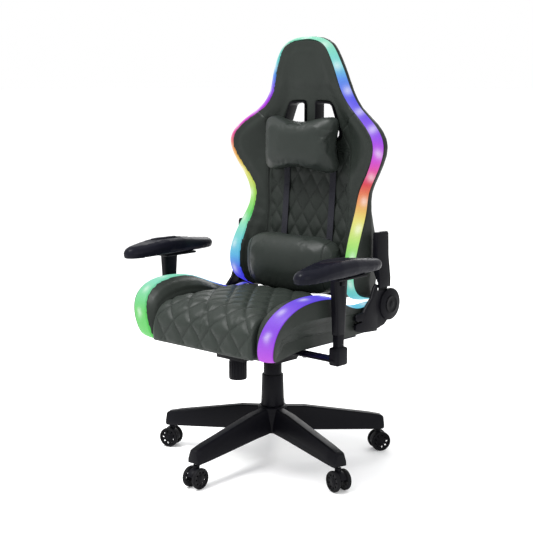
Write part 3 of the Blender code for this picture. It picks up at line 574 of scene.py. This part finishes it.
def make_plastic(name, colour, groups, roughness=0.42, sparks=1500.0, strength=0.12):
    material, tree, shader = new_material(name, colour, roughness, specular=0.07)
    texture = place_group(tree, groups["mould"], {"Place": object_place(tree), "Sparks": sparks})
    dusty = times(tree, texture["Dust"], 0.45)
    base = mix_colours(tree, dusty, shade(colour, 1.0), shade(colour, 1.4, 0.0006))
    tree.links.new(base, shader.inputs["Base Color"])
    rough = spread(tree, texture["Dust"], 0.0, 1.0, roughness - 0.03, roughness + 0.09)
    tree.links.new(rough, shader.inputs["Roughness"])
    normal = add_bump(tree, shader, texture["Ripple"], 0.05, 0.004)
    add_bump(tree, shader, texture["Height"], strength, 0.0003, normal)
    return material


def make_metal(name, colour, groups, roughness, metallic, sparks=900.0, strength=0.10):
    material, tree, shader = new_material(name, colour, roughness, metallic, specular=0.08)
    texture = place_group(tree, groups["mould"], {"Place": object_place(tree), "Sparks": sparks})
    worn = times(tree, texture["Dust"], 0.5)
    base = mix_colours(tree, worn, shade(colour, 1.0), shade(colour, 1.6, 0.01))
    tree.links.new(base, shader.inputs["Base Color"])
    rough = spread(tree, texture["Ripple"], 0.3, 0.7, roughness - 0.06, roughness + 0.08)
    tree.links.new(rough, shader.inputs["Roughness"])
    add_bump(tree, shader, texture["Height"], strength, 0.0003)
    return material


def make_webbing(groups):
    material, tree, shader = new_material("strap webbing", (0.008, 0.008, 0.014), 0.72,
                                          specular=0.2, sheen=0.10)
    weave = place_group(tree, groups["weave"], {"Place": object_place(tree), "Threads": 620.0})
    # Painted light and shade: the weave is coloured darker in its hollows and lighter on its crowns.
    shaded_hollow, lit_crown = (0.0035, 0.0035, 0.0070, 1.0), (0.0105, 0.0105, 0.0180, 1.0)
    base = mix_colours(tree, weave["Height"], shaded_hollow, lit_crown)
    tree.links.new(base, shader.inputs["Base Color"])
    add_bump(tree, shader, weave["Height"], 0.6, 0.0005)
    return material


def light(red, green, blue):
    """A screen colour, 0 to 255, as a light colour."""
    return tuple(((channel / 255 + 0.055) / 1.055) ** 2.4 for channel in (red, green, blue))


MINT, AQUA, CYAN = light(126, 214, 182), light(104, 202, 206), light(84, 176, 222)
SKY, BLUE, DEEP_BLUE = light(78, 136, 226), light(66, 72, 224), light(56, 40, 220)
INDIGO, VIOLET, MAGENTA = light(88, 56, 220), light(134, 54, 224), light(196, 60, 218)
PINK, RED, ORANGE = light(222, 74, 160), light(214, 58, 72), light(226, 142, 72)
YELLOW, LIME, GREEN = light(216, 208, 96), light(160, 212, 90), light(96, 204, 98)

# Light colours by height up the back, on the left and on the right side.
BACK_LEFT = ((0.47, CYAN), (0.51, AQUA), (0.56, MINT), (0.61, GREEN), (0.665, LIME), (0.725, YELLOW),
             (0.78, ORANGE), (0.83, RED), (0.87, PINK), (0.91, MAGENTA), (0.97, VIOLET), (1.03, INDIGO),
             (1.08, BLUE), (1.13, SKY), (1.17, AQUA), (1.23, MINT))
BACK_RIGHT = ((0.50, DEEP_BLUE), (0.545, BLUE), (0.59, CYAN), (0.64, AQUA), (0.68, MINT), (0.72, GREEN),
              (0.78, LIME), (0.85, YELLOW), (0.92, ORANGE), (0.97, PINK), (1.03, MAGENTA), (1.09, VIOLET),
              (1.14, SKY), (1.18, AQUA), (1.24, MINT))
# Light colours round each seat side, as shares of a turn from the front, over the top.
SEAT_LEFT = ((0.0, VIOLET), (0.10, INDIGO), (0.20, BLUE), (0.28, BLUE), (0.36, SKY), (0.44, CYAN),
             (0.52, AQUA), (0.62, CYAN), (0.72, DEEP_BLUE), (0.80, DEEP_BLUE), (0.88, VIOLET),
             (0.93, MAGENTA), (1.0, VIOLET))
SEAT_RIGHT = ((0.0, GREEN), (0.07, MINT), (0.15, MINT), (0.22, AQUA), (0.34, CYAN), (0.45, BLUE),
              (0.55, DEEP_BLUE), (0.68, CYAN), (0.80, MINT), (0.90, GREEN), (1.0, GREEN))
BAND_HEIGHTS = (0.45, 1.26)


def colour_row(tree, factor, low, high, stops):
    """A colour for each value between low and high."""
    ramp = place_node(tree, "ShaderNodeValToRGB", {"Fac": spread(tree, factor, low, high)})
    elements = ramp.color_ramp.elements
    while len(elements) > 1:
        elements.remove(elements[-1])
    for index, (place, colour) in enumerate(stops):
        place = (place - low) / (high - low)
        element = elements[0] if index == 0 else elements.new(place)
        element.position = place
        element.color = (*colour, 1.0)
    return ramp.outputs["Color"]


def light_up(tree, shader, colour, groups):
    """A woven diffuser lit from behind: brighter spots over the lamps, and a fine mottle."""
    weave = place_group(tree, groups["weave"], {"Place": object_place(tree), "Threads": 380.0})
    lamp = place_node(tree, "ShaderNodeAttribute", attribute_name="lamp").outputs["Fac"]
    glow = mix_colours(tree, times(tree, lamp, 0.42), colour, (1.0, 1.0, 1.0, 1.0))
    dimmed = mix_colours(tree, 1.0, glow, (0.45, 0.45, 0.45, 1.0), "MULTIPLY")
    glow = mix_colours(tree, spread(tree, weave["Fuzz"], 0.3, 0.7, 0.0, 0.30), glow, dimmed)
    tree.links.new(glow, shader.inputs["Emission Color"])
    shader.inputs["Emission Strength"].default_value = 1.0
    shader.inputs["Specular IOR Level"].default_value = 0.2
    tree.links.new(mix_colours(tree, 0.93, glow, (0.02, 0.02, 0.02, 1.0)), shader.inputs["Base Color"])
    add_bump(tree, shader, weave["Height"], 0.3, 0.0005)


def make_back_light(groups):
    material, tree, shader = new_material("back light", (0.2, 0.2, 0.2), 0.5)
    parts = split(tree, object_place(tree))
    left, right = (colour_row(tree, parts["Z"], *BAND_HEIGHTS, stops) for stops in (BACK_LEFT, BACK_RIGHT))
    light_up(tree, shader, mix_colours(tree, spread(tree, parts["X"], -0.02, 0.02), right, left), groups)
    return material


def make_seat_light(name, stops, groups):
    material, tree, shader = new_material(name, (0.2, 0.2, 0.2), 0.5)
    parts = split(tree, object_place(tree))
    rise = maths(tree, "SUBTRACT", parts["Z"], BAND_CENTRE[1])
    forward = maths(tree, "SUBTRACT", BAND_CENTRE[0], parts["Y"])
    turn = maths(tree, "FRACT", times(tree, maths(tree, "ARCTAN2", rise, forward), 1 / math.tau))
    light_up(tree, shader, colour_row(tree, turn, 0.0, 1.0, stops), groups)
    return material


def make_finishes():
    groups = {"grain": make_grain_group(), "stitch": make_stitch_group(),
              "mould": make_mould_group(), "weave": make_weave_group()}
    green_grey = (0.0130, 0.0163, 0.0138)
    # Painted light: the seat is the same leather as the back, coloured lighter to stand for the stronger
    # light on its top.
    lit_seat_grey = (0.0180, 0.0225, 0.0192)
    pillow_grey = (0.0158, 0.0195, 0.0170)
    smooth_black = (0.0022, 0.0022, 0.0032)
    return {
        "leather": make_leather("leather", green_grey, groups),
        "lit_seat_leather": make_leather("seat leather, quilted, painted lighter", lit_seat_grey, groups, quilt=SEAT_QUILT),
        "back_leather": make_leather("back leather, quilted", green_grey, groups, quilt=BACK_QUILT,
                                     seam=True),
        "shell_leather": make_leather("shell leather, seamed", green_grey, groups, seam=True),
        "pillow_leather": make_leather("pillow leather", pillow_grey, groups, 0.42, seam=True),
        "plastic": make_plastic("black plastic", (0.0036, 0.0036, 0.0052), groups),
        "smooth_plastic": make_plastic("smooth black plastic", smooth_black, groups, 0.34, 2200.0, 0.05),
        "tyre": make_plastic("wheel tread", (0.0060, 0.0060, 0.0070), groups, 0.60, 900.0, 0.25),
        "arm_skin": make_plastic("arm pad skin", (0.0052, 0.0054, 0.0095), groups, 0.34, 1100.0, 0.10),
        "painted_steel": make_metal("painted steel", (0.0030, 0.0030, 0.0040), groups, 0.42, 0.0),
        "bright_steel": make_metal("bright steel", (0.45, 0.45, 0.46), groups, 0.24, 1.0, 500.0, 0.03),
        "zinc": make_metal("zinc-plated steel", (0.32, 0.32, 0.33), groups, 0.36, 0.9, 700.0, 0.06),
        "webbing": make_webbing(groups),
        "back_light": make_back_light(groups),
        "seat_light_left": make_seat_light("seat light, left", SEAT_LEFT, groups),
        "seat_light_right": make_seat_light("seat light, right", SEAT_RIGHT, groups),
    }


# Upholstery

def make_seat_cushion(finishes):
    cushion = soft_copy("seat_cushion", "quilted_seat_cushion", 0.0050, 8)
    front_top = 0.40

    def share(co):
        return ease((co[:, 2] - front_top) / 0.03) * ease((0.1925 - np.abs(co[:, 0])) / 0.02)

    inflate(cushion, 0.006, share)
    refine(cushion)
    co, normals = points_of(cushion), normals_of(cushion)
    co[:, 2] += 0.011 * ease((co[:, 1] - 0.04) / 0.06) * ease((co[:, 2] - 0.46) / 0.03)
    co[:, 1] += 0.014 * ease((co[:, 1] - 0.07) / 0.05)
    along = follow(co[:, 1:], SEAT_PROFILE)[0] - SEAT_CROSSING
    first, second = quilt_lines(co[:, 0], along, SEAT_QUILT)
    facing = ease((np.maximum(normals[:, 2], -normals[:, 1]) - 0.35) / 0.3)
    area = facing * ease((co[:, 2] - 0.390) / 0.006) * ease((CUSHION_EDGE - np.abs(co[:, 0])) / 0.006)
    height = area * (0.002 + quilt_height(first, second, SEAT_QUILT, 0.0034))
    move_points(cushion, co + normals * height[:, None])
    add_uv(cushion, "quilt", first, second)
    add_values(cushion, "quilted", area)
    finish_soft(cushion, finishes["lit_seat_leather"], "seat", "leatherette", "seat_cushion")


def make_bolsters(finishes):
    for name in ("left", "right"):
        node = f"seat_bolster_{name}"
        bolster = soft_copy(node, f"{node}_cover", 0.0050, 5)

        def share(co):
            away = ease((distance_to_node(co, f"seat_light_band_{name}") - 0.006) / 0.022)
            return away * ease((np.abs(co[:, 0]) - 0.200) / 0.012) * ease((co[:, 2] - 0.42) / 0.03)

        inflate(bolster, 0.005, share)
        refine(bolster)
        tuck_under(bolster, f"seat_light_band_{name}", 0.0012, 0.008)
        finish_soft(bolster, finishes["leather"], "seat", "leatherette", node)


def make_side_panels(finishes):
    """Leather stretched over a thin board on the outside of each bolster, with a rolled edge."""
    for name in ("left", "right"):
        node = f"seat_side_panel_{name}"
        panel = copy_of_node(node, f"{node}_cover")
        join_triangles(panel)
        add_bevel(panel, 0.0024, 2, 40)
        refine(panel, 2)
        sign = 1 if name == "left" else -1

        def height(co, normals):
            outward = ease((sign * normals[:, 0] - 0.3) / 0.4)
            middle = np.hypot((co[:, 1] + 0.05) / 0.20, (co[:, 2] - 0.46) / 0.085)
            return outward * 0.0030 * (1 - ease(middle / 1.1))

        raise_by(panel, height)
        finish_soft(panel, finishes["leather"], "seat", "leatherette", node)


def back_seams(co):
    """Height from the seams on the front of the back."""
    flat = folded(co)
    height = np.zeros(len(co))
    lines = (((PANEL_EDGE, 0.47), (PANEL_EDGE, PANEL_TOP)), ((0.0, PANEL_TOP), (PANEL_EDGE, PANEL_TOP)),
             ((PANEL_EDGE, PANEL_TOP), (0.128, 0.966)), ((0.124, 0.985), (0.190, 1.035)))
    for start, end in lines:
        height = np.minimum(height, seam_along(flat, start, end))
    return height


def make_back_pad(finishes):
    def deepen(co, normals):
        """Fills the thin wings out to the rear, where they don't show."""
        hidden = (normals[:, 1] > 0.0) & (distance_to_node(co, "back_light_band") > 0.006)
        co[hidden, 1] += 0.016
        return co

    pad = soft_copy("back_front_pad", "quilted_back_pad", 0.0046, 4, deepen)

    def share(co):
        within = ease((distance_to_node(co, "back_light_band") - 0.006) / 0.030)
        beside = ease((np.abs(co[:, 0]) - 0.150) / 0.02) + ease((co[:, 2] - 1.09) / 0.04)
        return within * np.clip(beside, 0, 1)

    inflate(pad, 0.005, share)
    refine(pad)
    tuck_under(pad, "back_light_band", 0.0010, 0.008)
    co, normals = points_of(pad), normals_of(pad)
    first, second = quilt_lines(co[:, 0], co[:, 2] - BACK_QUILT_MIDDLE, BACK_QUILT)
    facing = ease((-normals[:, 1] - 0.35) / 0.3)
    wide = np.abs(co[:, 0])
    area = facing * ease((PANEL_EDGE - 0.004 - wide) / 0.006) * ease((PANEL_TOP - 0.003 - co[:, 2]) / 0.006)
    height = area * quilt_height(first, second, BACK_QUILT, 0.0034) + facing * back_seams(co)
    move_points(pad, co + normals * height[:, None])
    add_uv(pad, "quilt", first, second)
    elsewhere = 10 * (co[:, 2] > PANEL_TOP) + 10 * (facing < 0.2)
    add_uv(pad, "seam", wide - PANEL_EDGE + elsewhere, co[:, 2])
    add_values(pad, "quilted", area)
    finish_soft(pad, finishes["back_leather"], "backrest", "leatherette", "back_front_pad")


def make_rear_shell(finishes):
    shell = soft_copy("back_rear_cover", "rear_shell_cover", 0.0036, 5)
    co, normals = points_of(shell), normals_of(shell)
    flat = folded(co)
    rear = ease((normals[:, 1] - 0.3) / 0.3)
    height = np.minimum(seam_along(flat, (0.125, 0.50), (0.125, 0.925)),
                        seam_along(flat, (0.0, 0.925), (0.24, 0.925)))
    height = np.minimum(height, seam_along(flat, (0.120, 0.985), (0.190, 1.035)))
    move_points(shell, co + normals * (rear * height)[:, None])
    elsewhere = 10 * (flat[:, 1] > 0.925) + 10 * (rear < 0.2)
    add_uv(shell, "seam", flat[:, 0] - 0.125 + elsewhere, co[:, 2])
    finish_soft(shell, finishes["shell_leather"], "backrest", "leatherette", "back_rear_cover")


def make_head_pillow(finishes):
    pillow = soft_copy("head_pillow", "neck_pillow", 0.0050, 3)
    half_width, half_height = 0.137, 0.084
    seam_y, middle_z = 0.169, 0.940
    co = points_of(pillow)
    across = co[:, 0] / half_width
    up = (co[:, 2] - middle_z) / half_height
    corner = ease((np.abs(across * up) - 0.10) / 0.75)
    co[:, 2] -= 0.0090 * (1 - across ** 2) * ease(up)
    co[:, 2] += 0.0050 * (1 - across ** 2) * ease(-up)
    co[:, 0] -= np.sign(across) * 0.0040 * (1 - up ** 2) * ease(np.abs(across) - 0.2)
    co[:, 0] += np.sign(across) * 0.0100 * corner
    co[:, 2] += np.sign(up) * 0.0110 * corner
    move_points(pillow, co)
    inflate(pillow, 0.009)
    refine(pillow)

    def height(co, normals):
        across = co[:, 0] / half_width
        up = (co[:, 2] - middle_z) / half_height
        front = ease((-normals[:, 1] - 0.1) / 0.4)
        folds = np.zeros(len(co))
        for x, z, slope, length, depth in PILLOW_FOLDS:
            reach = np.abs(across - x) / length
            line = up - z - slope * (across - x)
            folds -= depth * np.exp(-(line / 0.050) ** 2) * (1 - ease(reach))
        return front * folds + groove(co[:, 1] - seam_y, 0.0020, 0.0016)

    raise_by(pillow, height)
    co = points_of(pillow)
    run = np.arctan2(co[:, 2] - middle_z, co[:, 0]) * 0.11
    add_uv(pillow, "seam", co[:, 1] - seam_y, run)
    finish_soft(pillow, finishes["pillow_leather"], "neck_cushion", "pillow", "head_pillow")


def make_lumbar_pillow(finishes):
    pillow = soft_copy("lumbar_pillow", "lumbar_roll", 0.0050, 3)
    inflate(pillow, 0.007)
    refine(pillow)
    seam, middle_z, half_height = 0.142, 0.592, 0.082
    co, normals = points_of(pillow), normals_of(pillow)
    up = (co[:, 2] - middle_z) / half_height
    round_front = ease((-normals[:, 1] + 0.2) / 0.8) * np.clip(1 - up ** 2, 0, 1)
    co[:, 1] -= 0.0075 * round_front
    co[:, 2] -= 0.0110 * ease((0.56 - co[:, 2]) / 0.04)
    move_points(pillow, co)
    raise_by(pillow, lambda co, normals: groove(np.abs(co[:, 0]) - seam, 0.0022, 0.0020))
    co = points_of(pillow)
    run = np.arctan2(co[:, 2] - middle_z, co[:, 1] - 0.115) * 0.07
    add_uv(pillow, "seam", np.abs(co[:, 0]) - seam, run)
    finish_soft(pillow, finishes["pillow_leather"], "lumbar_cushion", "pillow", "lumbar_pillow")


def make_arm_pads(finishes):
    for name in ("left", "right"):
        pad = soft_copy(f"arm_pad_{name}", f"arm_pad_{name}_skin", 0.0034, 5)
        refine(pad)
        raise_by(pad, lambda co, normals: 0.0018 * ease((normals[:, 2] + 0.2) / 0.4))
        finish_soft(pad, finishes["arm_skin"], f"arm_{name}", "arm_pad", f"arm_pad_{name}")


def make_straps(finishes):
    straps = copy_of_node("lumbar_straps", "woven_straps")
    smooth(straps, 30)
    finish_piece(straps, finishes["webbing"], "backrest", "webbing", "lumbar_straps")


def lamp_glow(along, across):
    """How near each point is to a lamp behind the band, 0 to 1."""
    offset = np.abs(along / LAMP_PITCH - np.round(along / LAMP_PITCH)) * LAMP_PITCH
    return np.exp(-(offset / 0.013) ** 2 - (across / 0.0095) ** 2)


def seat_band_glow(co):
    turn = np.arctan2(co[:, 2] - BAND_CENTRE[1], BAND_CENTRE[0] - co[:, 1]) / math.tau
    ring = [(BAND_CENTRE[0] - 0.245 * math.cos(a), BAND_CENTRE[1] + 0.085 * math.sin(a))
            for a in (math.tau * step / 48 for step in range(49))]
    wide = np.abs(co[:, 0])
    middles = []
    for slot in range(48):
        near = wide[np.abs((turn - slot / 48 + 0.5) % 1.0 - 0.5) < 0.05]
        middles.append(0.5 * (near.min() + near.max()))
    middle = np.interp(turn % 1.0, np.arange(48) / 48, middles)
    return lamp_glow(follow(co[:, 1:], ring)[0], wide - middle)


def make_light_bands(finishes):
    bands = (("back_light_band", "backrest", "back_light"),
             ("seat_light_band_left", "seat", "seat_light_left"),
             ("seat_light_band_right", "seat", "seat_light_right"))
    for node, body, finish in bands:
        band = copy_of_node(node, f"{node}_lit")
        join_triangles(band)
        pick(band)
        bpy.ops.object.mode_set(mode="EDIT")
        bpy.ops.mesh.select_mode(type="EDGE")
        bpy.ops.mesh.select_all(action="DESELECT")
        bpy.ops.mesh.edges_select_sharp(sharpness=math.radians(40))
        bpy.ops.transform.edge_crease(value=0.85)
        leave_edit()
        refine(band, 2)
        co = points_of(band)
        if body == "seat":
            glow = seat_band_glow(co)
        else:
            glow = lamp_glow(*follow(folded(co), BACK_BAND_PATH))
        add_values(band, "lamp", glow)
        smooth(band, 40)
        finish_piece(band, finishes[finish], body, "light_band", node)


# Base, wheels and hardware

def make_base(finishes):
    machined("star_base", "base", "plastic", finishes["plastic"], 0.0016)
    grips = []
    for arm in range(5):
        turn = math.radians(FIRST_ARM + 72 * arm)
        for step in range(6):
            out = STEM_REACH - 0.052 + 0.0105 * step
            top = 0.120 - 0.0090 * (step / 5) - 0.0003
            rib = block("grip_rib", (0.0036, 0.0250 - 0.0004 * step, 0.0044), (out, 0.0, top), 0.0012)
            grips.append(swing(rib, turn, COLUMN_Y))
    grip = merge("arm_grip_ribs", grips)
    smooth(grip)
    finish_piece(grip, finishes["plastic"], "base", "plastic")
    for node, body in (("column_cover_lower", "base"), ("column_cover_upper", "lift")):
        machined(node, body, "plastic", finishes["plastic"], 0.0007, 2, 40)


def make_wheel():
    """One wheel on the Z axis: a tyre turned from its section, and a disc with a ring of holes."""
    deselect()
    half = WHEEL_WIDTH / 2
    section = ((0.0252, -half + 0.0012), (0.0268, -half), (0.0286, -half + 0.0004), (0.0300, -half + 0.0030),
               (0.0300, half - 0.0034), (0.0284, half - 0.0006), (0.0268, half), (0.0252, half - 0.0014))
    bpy.ops.mesh.primitive_plane_add(size=0.001)
    tyre = newest("tyre")
    tyre.data.clear_geometry()
    tyre.data.from_pydata([(radius, 0.0, height) for radius, height in section], [],
                          [tuple(range(len(section)))])
    edit_all(tyre)
    bpy.ops.mesh.spin(steps=40, angle=math.tau, center=(0.0, 0.0, 0.0), axis=(0.0, 0.0, 1.0))
    bpy.ops.mesh.select_all(action="SELECT")
    bpy.ops.mesh.remove_doubles(threshold=1e-5)
    bpy.ops.mesh.select_all(action="DESELECT")
    bpy.ops.mesh.select_non_manifold()
    bpy.ops.mesh.select_interior_faces()
    bpy.ops.mesh.delete(type="FACE")
    bpy.ops.mesh.select_all(action="SELECT")
    bpy.ops.mesh.normals_make_consistent(inside=False)
    leave_edit()
    disc = cylinder("disc", 0.0256, WHEEL_WIDTH - 0.0044, 48)
    bpy.ops.object.mode_set(mode="EDIT")
    select_faces(disc, lambda face: abs(face.normal.z) > 0.9)
    bpy.ops.mesh.inset(thickness=0.0026, depth=-0.0012)
    bpy.ops.mesh.inset(thickness=0.0118, depth=0.0)
    bpy.ops.mesh.inset(thickness=0.0012, depth=0.0014)
    leave_edit()
    holes = []
    for step in range(9):
        hole = cylinder("hole", 0.0033, 0.03, 14)
        hole.scale = (1.15, 0.85, 1.0)
        hole.location.x = 0.0181
        holes.append(swing(settle(hole), math.tau * step / 9, 0.0))
    cut(disc, merge("holes", holes))
    add_bevel(disc, 0.0004, 1, 40)
    bpy.ops.mesh.primitive_uv_sphere_add(segments=20, ring_count=8, radius=0.0052,
                                         location=(0.0, 0.0, half - 0.0040))
    cap = newest("cap")
    edit_all(cap)
    bpy.ops.mesh.bisect(plane_co=(0.0, 0.0, half - 0.0040), plane_no=(0.0, 0.0, -1.0), use_fill=True,
                        clear_outer=True)
    leave_edit()
    cap.scale = (1.0, 1.0, 0.62)
    cap.location.z += 0.0001
    settle(cap)
    return tyre, disc, cap


def place_copy(pattern, name, place):
    piece = bpy.data.objects.new(name, pattern.data.copy())
    bpy.context.scene.collection.objects.link(piece)
    piece.matrix_world = place
    return settle(piece)


def make_casters(finishes):
    tyre, disc, cap = make_wheel()
    for piece, finish in ((tyre, "tyre"), (disc, "smooth_plastic"), (cap, "plastic")):
        piece.data.materials.append(finishes[finish])
    wheel = merge("wheel_pattern", [tyre, disc, cap])
    smooth(wheel, 40)
    hood = make_hood(finishes)
    for arm in range(5):
        number = arm + 1
        out = Matrix.Rotation(math.radians(FIRST_ARM + 72 * arm), 4, "Z")
        stem = Matrix.Translation((STEM_REACH + CASTER_TRAIL, 0.0, WHEEL_RADIUS))
        centre = Matrix.Translation((0.0, COLUMN_Y, 0.0)) @ out @ stem
        for letter, side in (("a", -1), ("b", 1)):
            node = f"caster_wheel_{letter}_{number}"
            outward = Matrix.Rotation(-side * math.pi / 2, 4, "X")
            place = centre @ Matrix.Translation((0.0, side * WHEEL_OFFSET, 0.0)) @ outward
            own = place_copy(wheel, f"{node}_detailed", place)
            finish_piece(own, None, f"wheels_{number}", "plastic", node)
        node = f"caster_housing_{number}"
        finish_piece(place_copy(hood, f"{node}_hood", centre), None, f"fork_{number}", "plastic", node)
        axle = cylinder(f"caster_axle_{number}", 0.0030, 0.0240, 20)
        axle.matrix_world = centre @ Matrix.Rotation(math.pi / 2, 4, "X")
        settle(axle)
        add_bevel(axle, 0.0004, 2)
        smooth(axle)
        finish_piece(axle, finishes["zinc"], f"wheels_{number}", "steel")
    bpy.data.objects.remove(wheel)
    bpy.data.objects.remove(hood)


def make_hood(finishes):
    """The fender between a pair of wheels, with its axle boss, web and stem, on the wheel's centre."""
    across = (math.pi / 2, 0.0, 0.0)
    centre = (0.0, 0.0, 0.0)
    fender = cylinder("fender", 0.0270, 0.0196, 56, centre, across)
    cut(fender, cylinder("inside", 0.0236, 0.0400, 56, centre, across))
    edit_all(fender)
    bpy.ops.mesh.bisect(plane_co=(0.0, 0.0, 0.001), plane_no=(-0.25, 0.0, 1.0), use_fill=True,
                        clear_inner=True)
    leave_edit()
    add_bevel(fender, 0.0008, 2, 40)
    web = block("web", (0.0110, 0.0120, 0.0270), (-0.002, 0.0, 0.0135), 0.0015)
    boss = add_bevel(cylinder("boss", 0.0078, 0.0192, 28, centre, across), 0.0010)
    neck = add_bevel(cylinder("neck", 0.0094, 0.0125, 28, (-CASTER_TRAIL, 0.0, 0.0300)), 0.0012)
    stem = add_bevel(cylinder("stem", 0.0054, 0.0320, 24, (-CASTER_TRAIL, 0.0, 0.0535)), 0.0008)
    for piece in (fender, web, boss, neck):
        piece.data.materials.append(finishes["plastic"])
    stem.data.materials.append(finishes["zinc"])
    return smooth(merge("hood_pattern", [fender, web, boss, neck, stem]), 40)


def make_bolt(place, radius, height):
    """A hexagon head on a washer, pointing down."""
    head = cylinder("head", radius, height, 6, (0.0, 0.0, height / 2))
    edit_all(head)
    select_faces(head, lambda face: face.normal.z > 0.9)
    bpy.ops.mesh.inset(thickness=radius * 0.18, depth=height * 0.12)
    leave_edit()
    washer = cylinder("washer", radius * 1.45, 0.0012, 20, (0.0, 0.0, 0.0006))
    bolt = merge("bolt", [head, washer])
    down = Vector((0, 0, -1)).to_track_quat("Z", "Y").to_matrix().to_4x4()
    bolt.matrix_world = Matrix.Translation(place) @ down
    return settle(bolt)


def make_bolts(finishes, name, places, radius, height):
    bolts = merge(name, [make_bolt(place, radius, height) for place in places])
    smooth(bolts, 30)
    finish_piece(bolts, finishes["zinc"], "seat", "steel")


def make_mechanism(finishes):
    machined("mechanism_housing", "swivel", "steel", finishes["painted_steel"], 0.0012)
    machined("seat_plate", "seat", "steel", finishes["painted_steel"], 0.0008)
    machined("tension_knob", "knob", "plastic", finishes["plastic"], 0.0010, 2, 50)
    machined("height_lever", "lift_lever", "plastic", finishes["plastic"], 0.0008, 2, 45)
    ribs = []
    for step in range(20):
        rib = block("knob_rib", (0.0020, 0.0030, 0.046), (0.0252, 0.0, 0.304), 0.0007)
        ribs.append(swing(rib, math.tau * step / 20, -0.125))
    knob = merge("knob_ribs", ribs)
    smooth(knob)
    finish_piece(knob, finishes["plastic"], "knob", "plastic")
    places = [(x, y + COLUMN_Y, 0.374) for x in (-0.078, 0.078) for y in (-0.142, 0.112)]
    make_bolts(finishes, "plate_bolts", places, 0.0062, 0.0048)
    places = [(side * x, y - 0.080, 0.372) for side in (-1, 1) for x in (0.165, 0.225)
              for y in (-0.014, 0.014)]
    make_bolts(finishes, "arm_bolts", places, 0.0056, 0.0046)


def make_arms(finishes):
    for name, side in (("left", 1), ("right", -1)):
        machined(f"arm_bracket_{name}", "seat", "steel", finishes["plastic"], 0.0012)
        machined(f"arm_sleeve_{name}", f"arm_{name}", "plastic", finishes["plastic"], 0.0007, 2, 25)
        machined(f"arm_button_{name}", f"button_{name}", "plastic", finishes["smooth_plastic"], 0.0006)


def make_hinges(finishes):
    for name, side in (("left", 1), ("right", -1)):
        machined(f"recliner_seat_bracket_{name}", "seat", "steel", finishes["painted_steel"], 0.0006)
        machined(f"recliner_back_bracket_{name}", "backrest", "steel", finishes["painted_steel"], 0.0006)
        machined(f"recliner_upper_cover_{name}", "backrest", "plastic", finishes["plastic"], 0.0016, 3)
        machined(f"recliner_lower_cover_{name}", "seat", "plastic", finishes["plastic"], 0.0012, 2, 40)
        outer = max(abs(corner.x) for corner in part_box(f"recliner_lower_cover_{name}"))
        cap = cylinder(f"hinge_cap_{name}", 0.0270, 0.0030, 40,
                       (side * (outer + 0.0008), HINGE.y, HINGE.z), (0.0, side * math.pi / 2, 0.0))
        edit_all(cap)
        select_faces(cap, lambda face: side * face.normal.x > 0.9)
        bpy.ops.mesh.inset(thickness=0.0050, depth=0.0)
        bpy.ops.mesh.inset(thickness=0.0010, depth=-0.0012)
        bpy.ops.mesh.inset(thickness=0.0120, depth=0.0)
        bpy.ops.mesh.inset(thickness=0.0010, depth=0.0014)
        leave_edit()
        add_bevel(cap, 0.0005, 2, 40)
        smooth(cap)
        finish_piece(cap, finishes["smooth_plastic"], "seat", "plastic")
    machined("recline_lever", "latch_lever", "plastic", finishes["plastic"], 0.0007, 2, 45)


def make_bezels(finishes):
    for name in ("left", "right"):
        machined(f"strap_bezel_{name}", "backrest", "plastic", finishes["smooth_plastic"], 0.0008)


def finish_nodes(finishes):
    """Finishes for the CAD nodes that show as they are."""
    chosen = {"gas_outer_tube": "painted_steel", "gas_cylinder": "bright_steel", "tilt_pin": "zinc",
              "tension_spring": "zinc", "seat_board": "webbing", "back_frame": "painted_steel"}
    for node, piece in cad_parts.items():
        material = finishes[chosen.get(node, "plastic")]
        piece.data.materials.clear()
        piece.data.materials.append(material)


# Studio

def make_studio():
    bpy.ops.mesh.primitive_plane_add(size=400.0, location=(0.0, 0.0, -0.0005))
    floor = newest("floor")
    material, tree, shader = new_material("pale floor", (0.93, 0.93, 0.93), 0.8, specular=0.1)
    mottle = noise(tree, object_place(tree), 3.0, 3.0)
    base = mix_colours(tree, mottle, (0.92, 0.92, 0.92, 1.0), (0.94, 0.94, 0.94, 1.0))
    tree.links.new(base, shader.inputs["Base Color"])
    shader.inputs["Emission Color"].default_value = (1.0, 1.0, 1.0, 1.0)
    shader.inputs["Emission Strength"].default_value = 0.14
    floor.data.materials.append(material)
    world = bpy.data.worlds.new("studio")
    bpy.context.scene.world = world
    world.use_nodes = True
    world.node_tree.nodes["Background"].inputs["Color"].default_value = (1.0, 1.0, 1.0, 1.0)
    world.node_tree.nodes["Background"].inputs["Strength"].default_value = 1.0
    aim = Vector((0.0, 0.0, 0.65))
    for name, place, size, power in LAMPS:
        bpy.ops.object.light_add(type="AREA", location=place)
        lamp = bpy.context.object
        lamp.name = f"{name}_light"
        lamp.data.size = size
        lamp.data.energy = power
        lamp.rotation_mode = "QUATERNION"
        lamp.rotation_quaternion = (aim - Vector(place)).to_track_quat("-Z", "Y")
    bpy.ops.object.camera_add(location=CAMERA_PLACE)
    camera = bpy.context.object
    camera.rotation_mode = "QUATERNION"
    camera.rotation_quaternion = CAMERA_BACK.to_track_quat("Z", "Y")
    camera.data.lens = CAMERA_LENS
    camera.data.sensor_width = 36.0
    bpy.context.scene.camera = camera
    bpy.context.scene.view_settings.view_transform = "Standard"


finishes = make_finishes()
for make in (finish_nodes, make_seat_cushion, make_bolsters, make_side_panels, make_back_pad, make_rear_shell,
             make_head_pillow, make_lumbar_pillow, make_arm_pads, make_straps, make_light_bands, make_base,
             make_casters, make_mechanism, make_arms, make_hinges, make_bezels):
    make(finishes)
make_studio()
deselect()
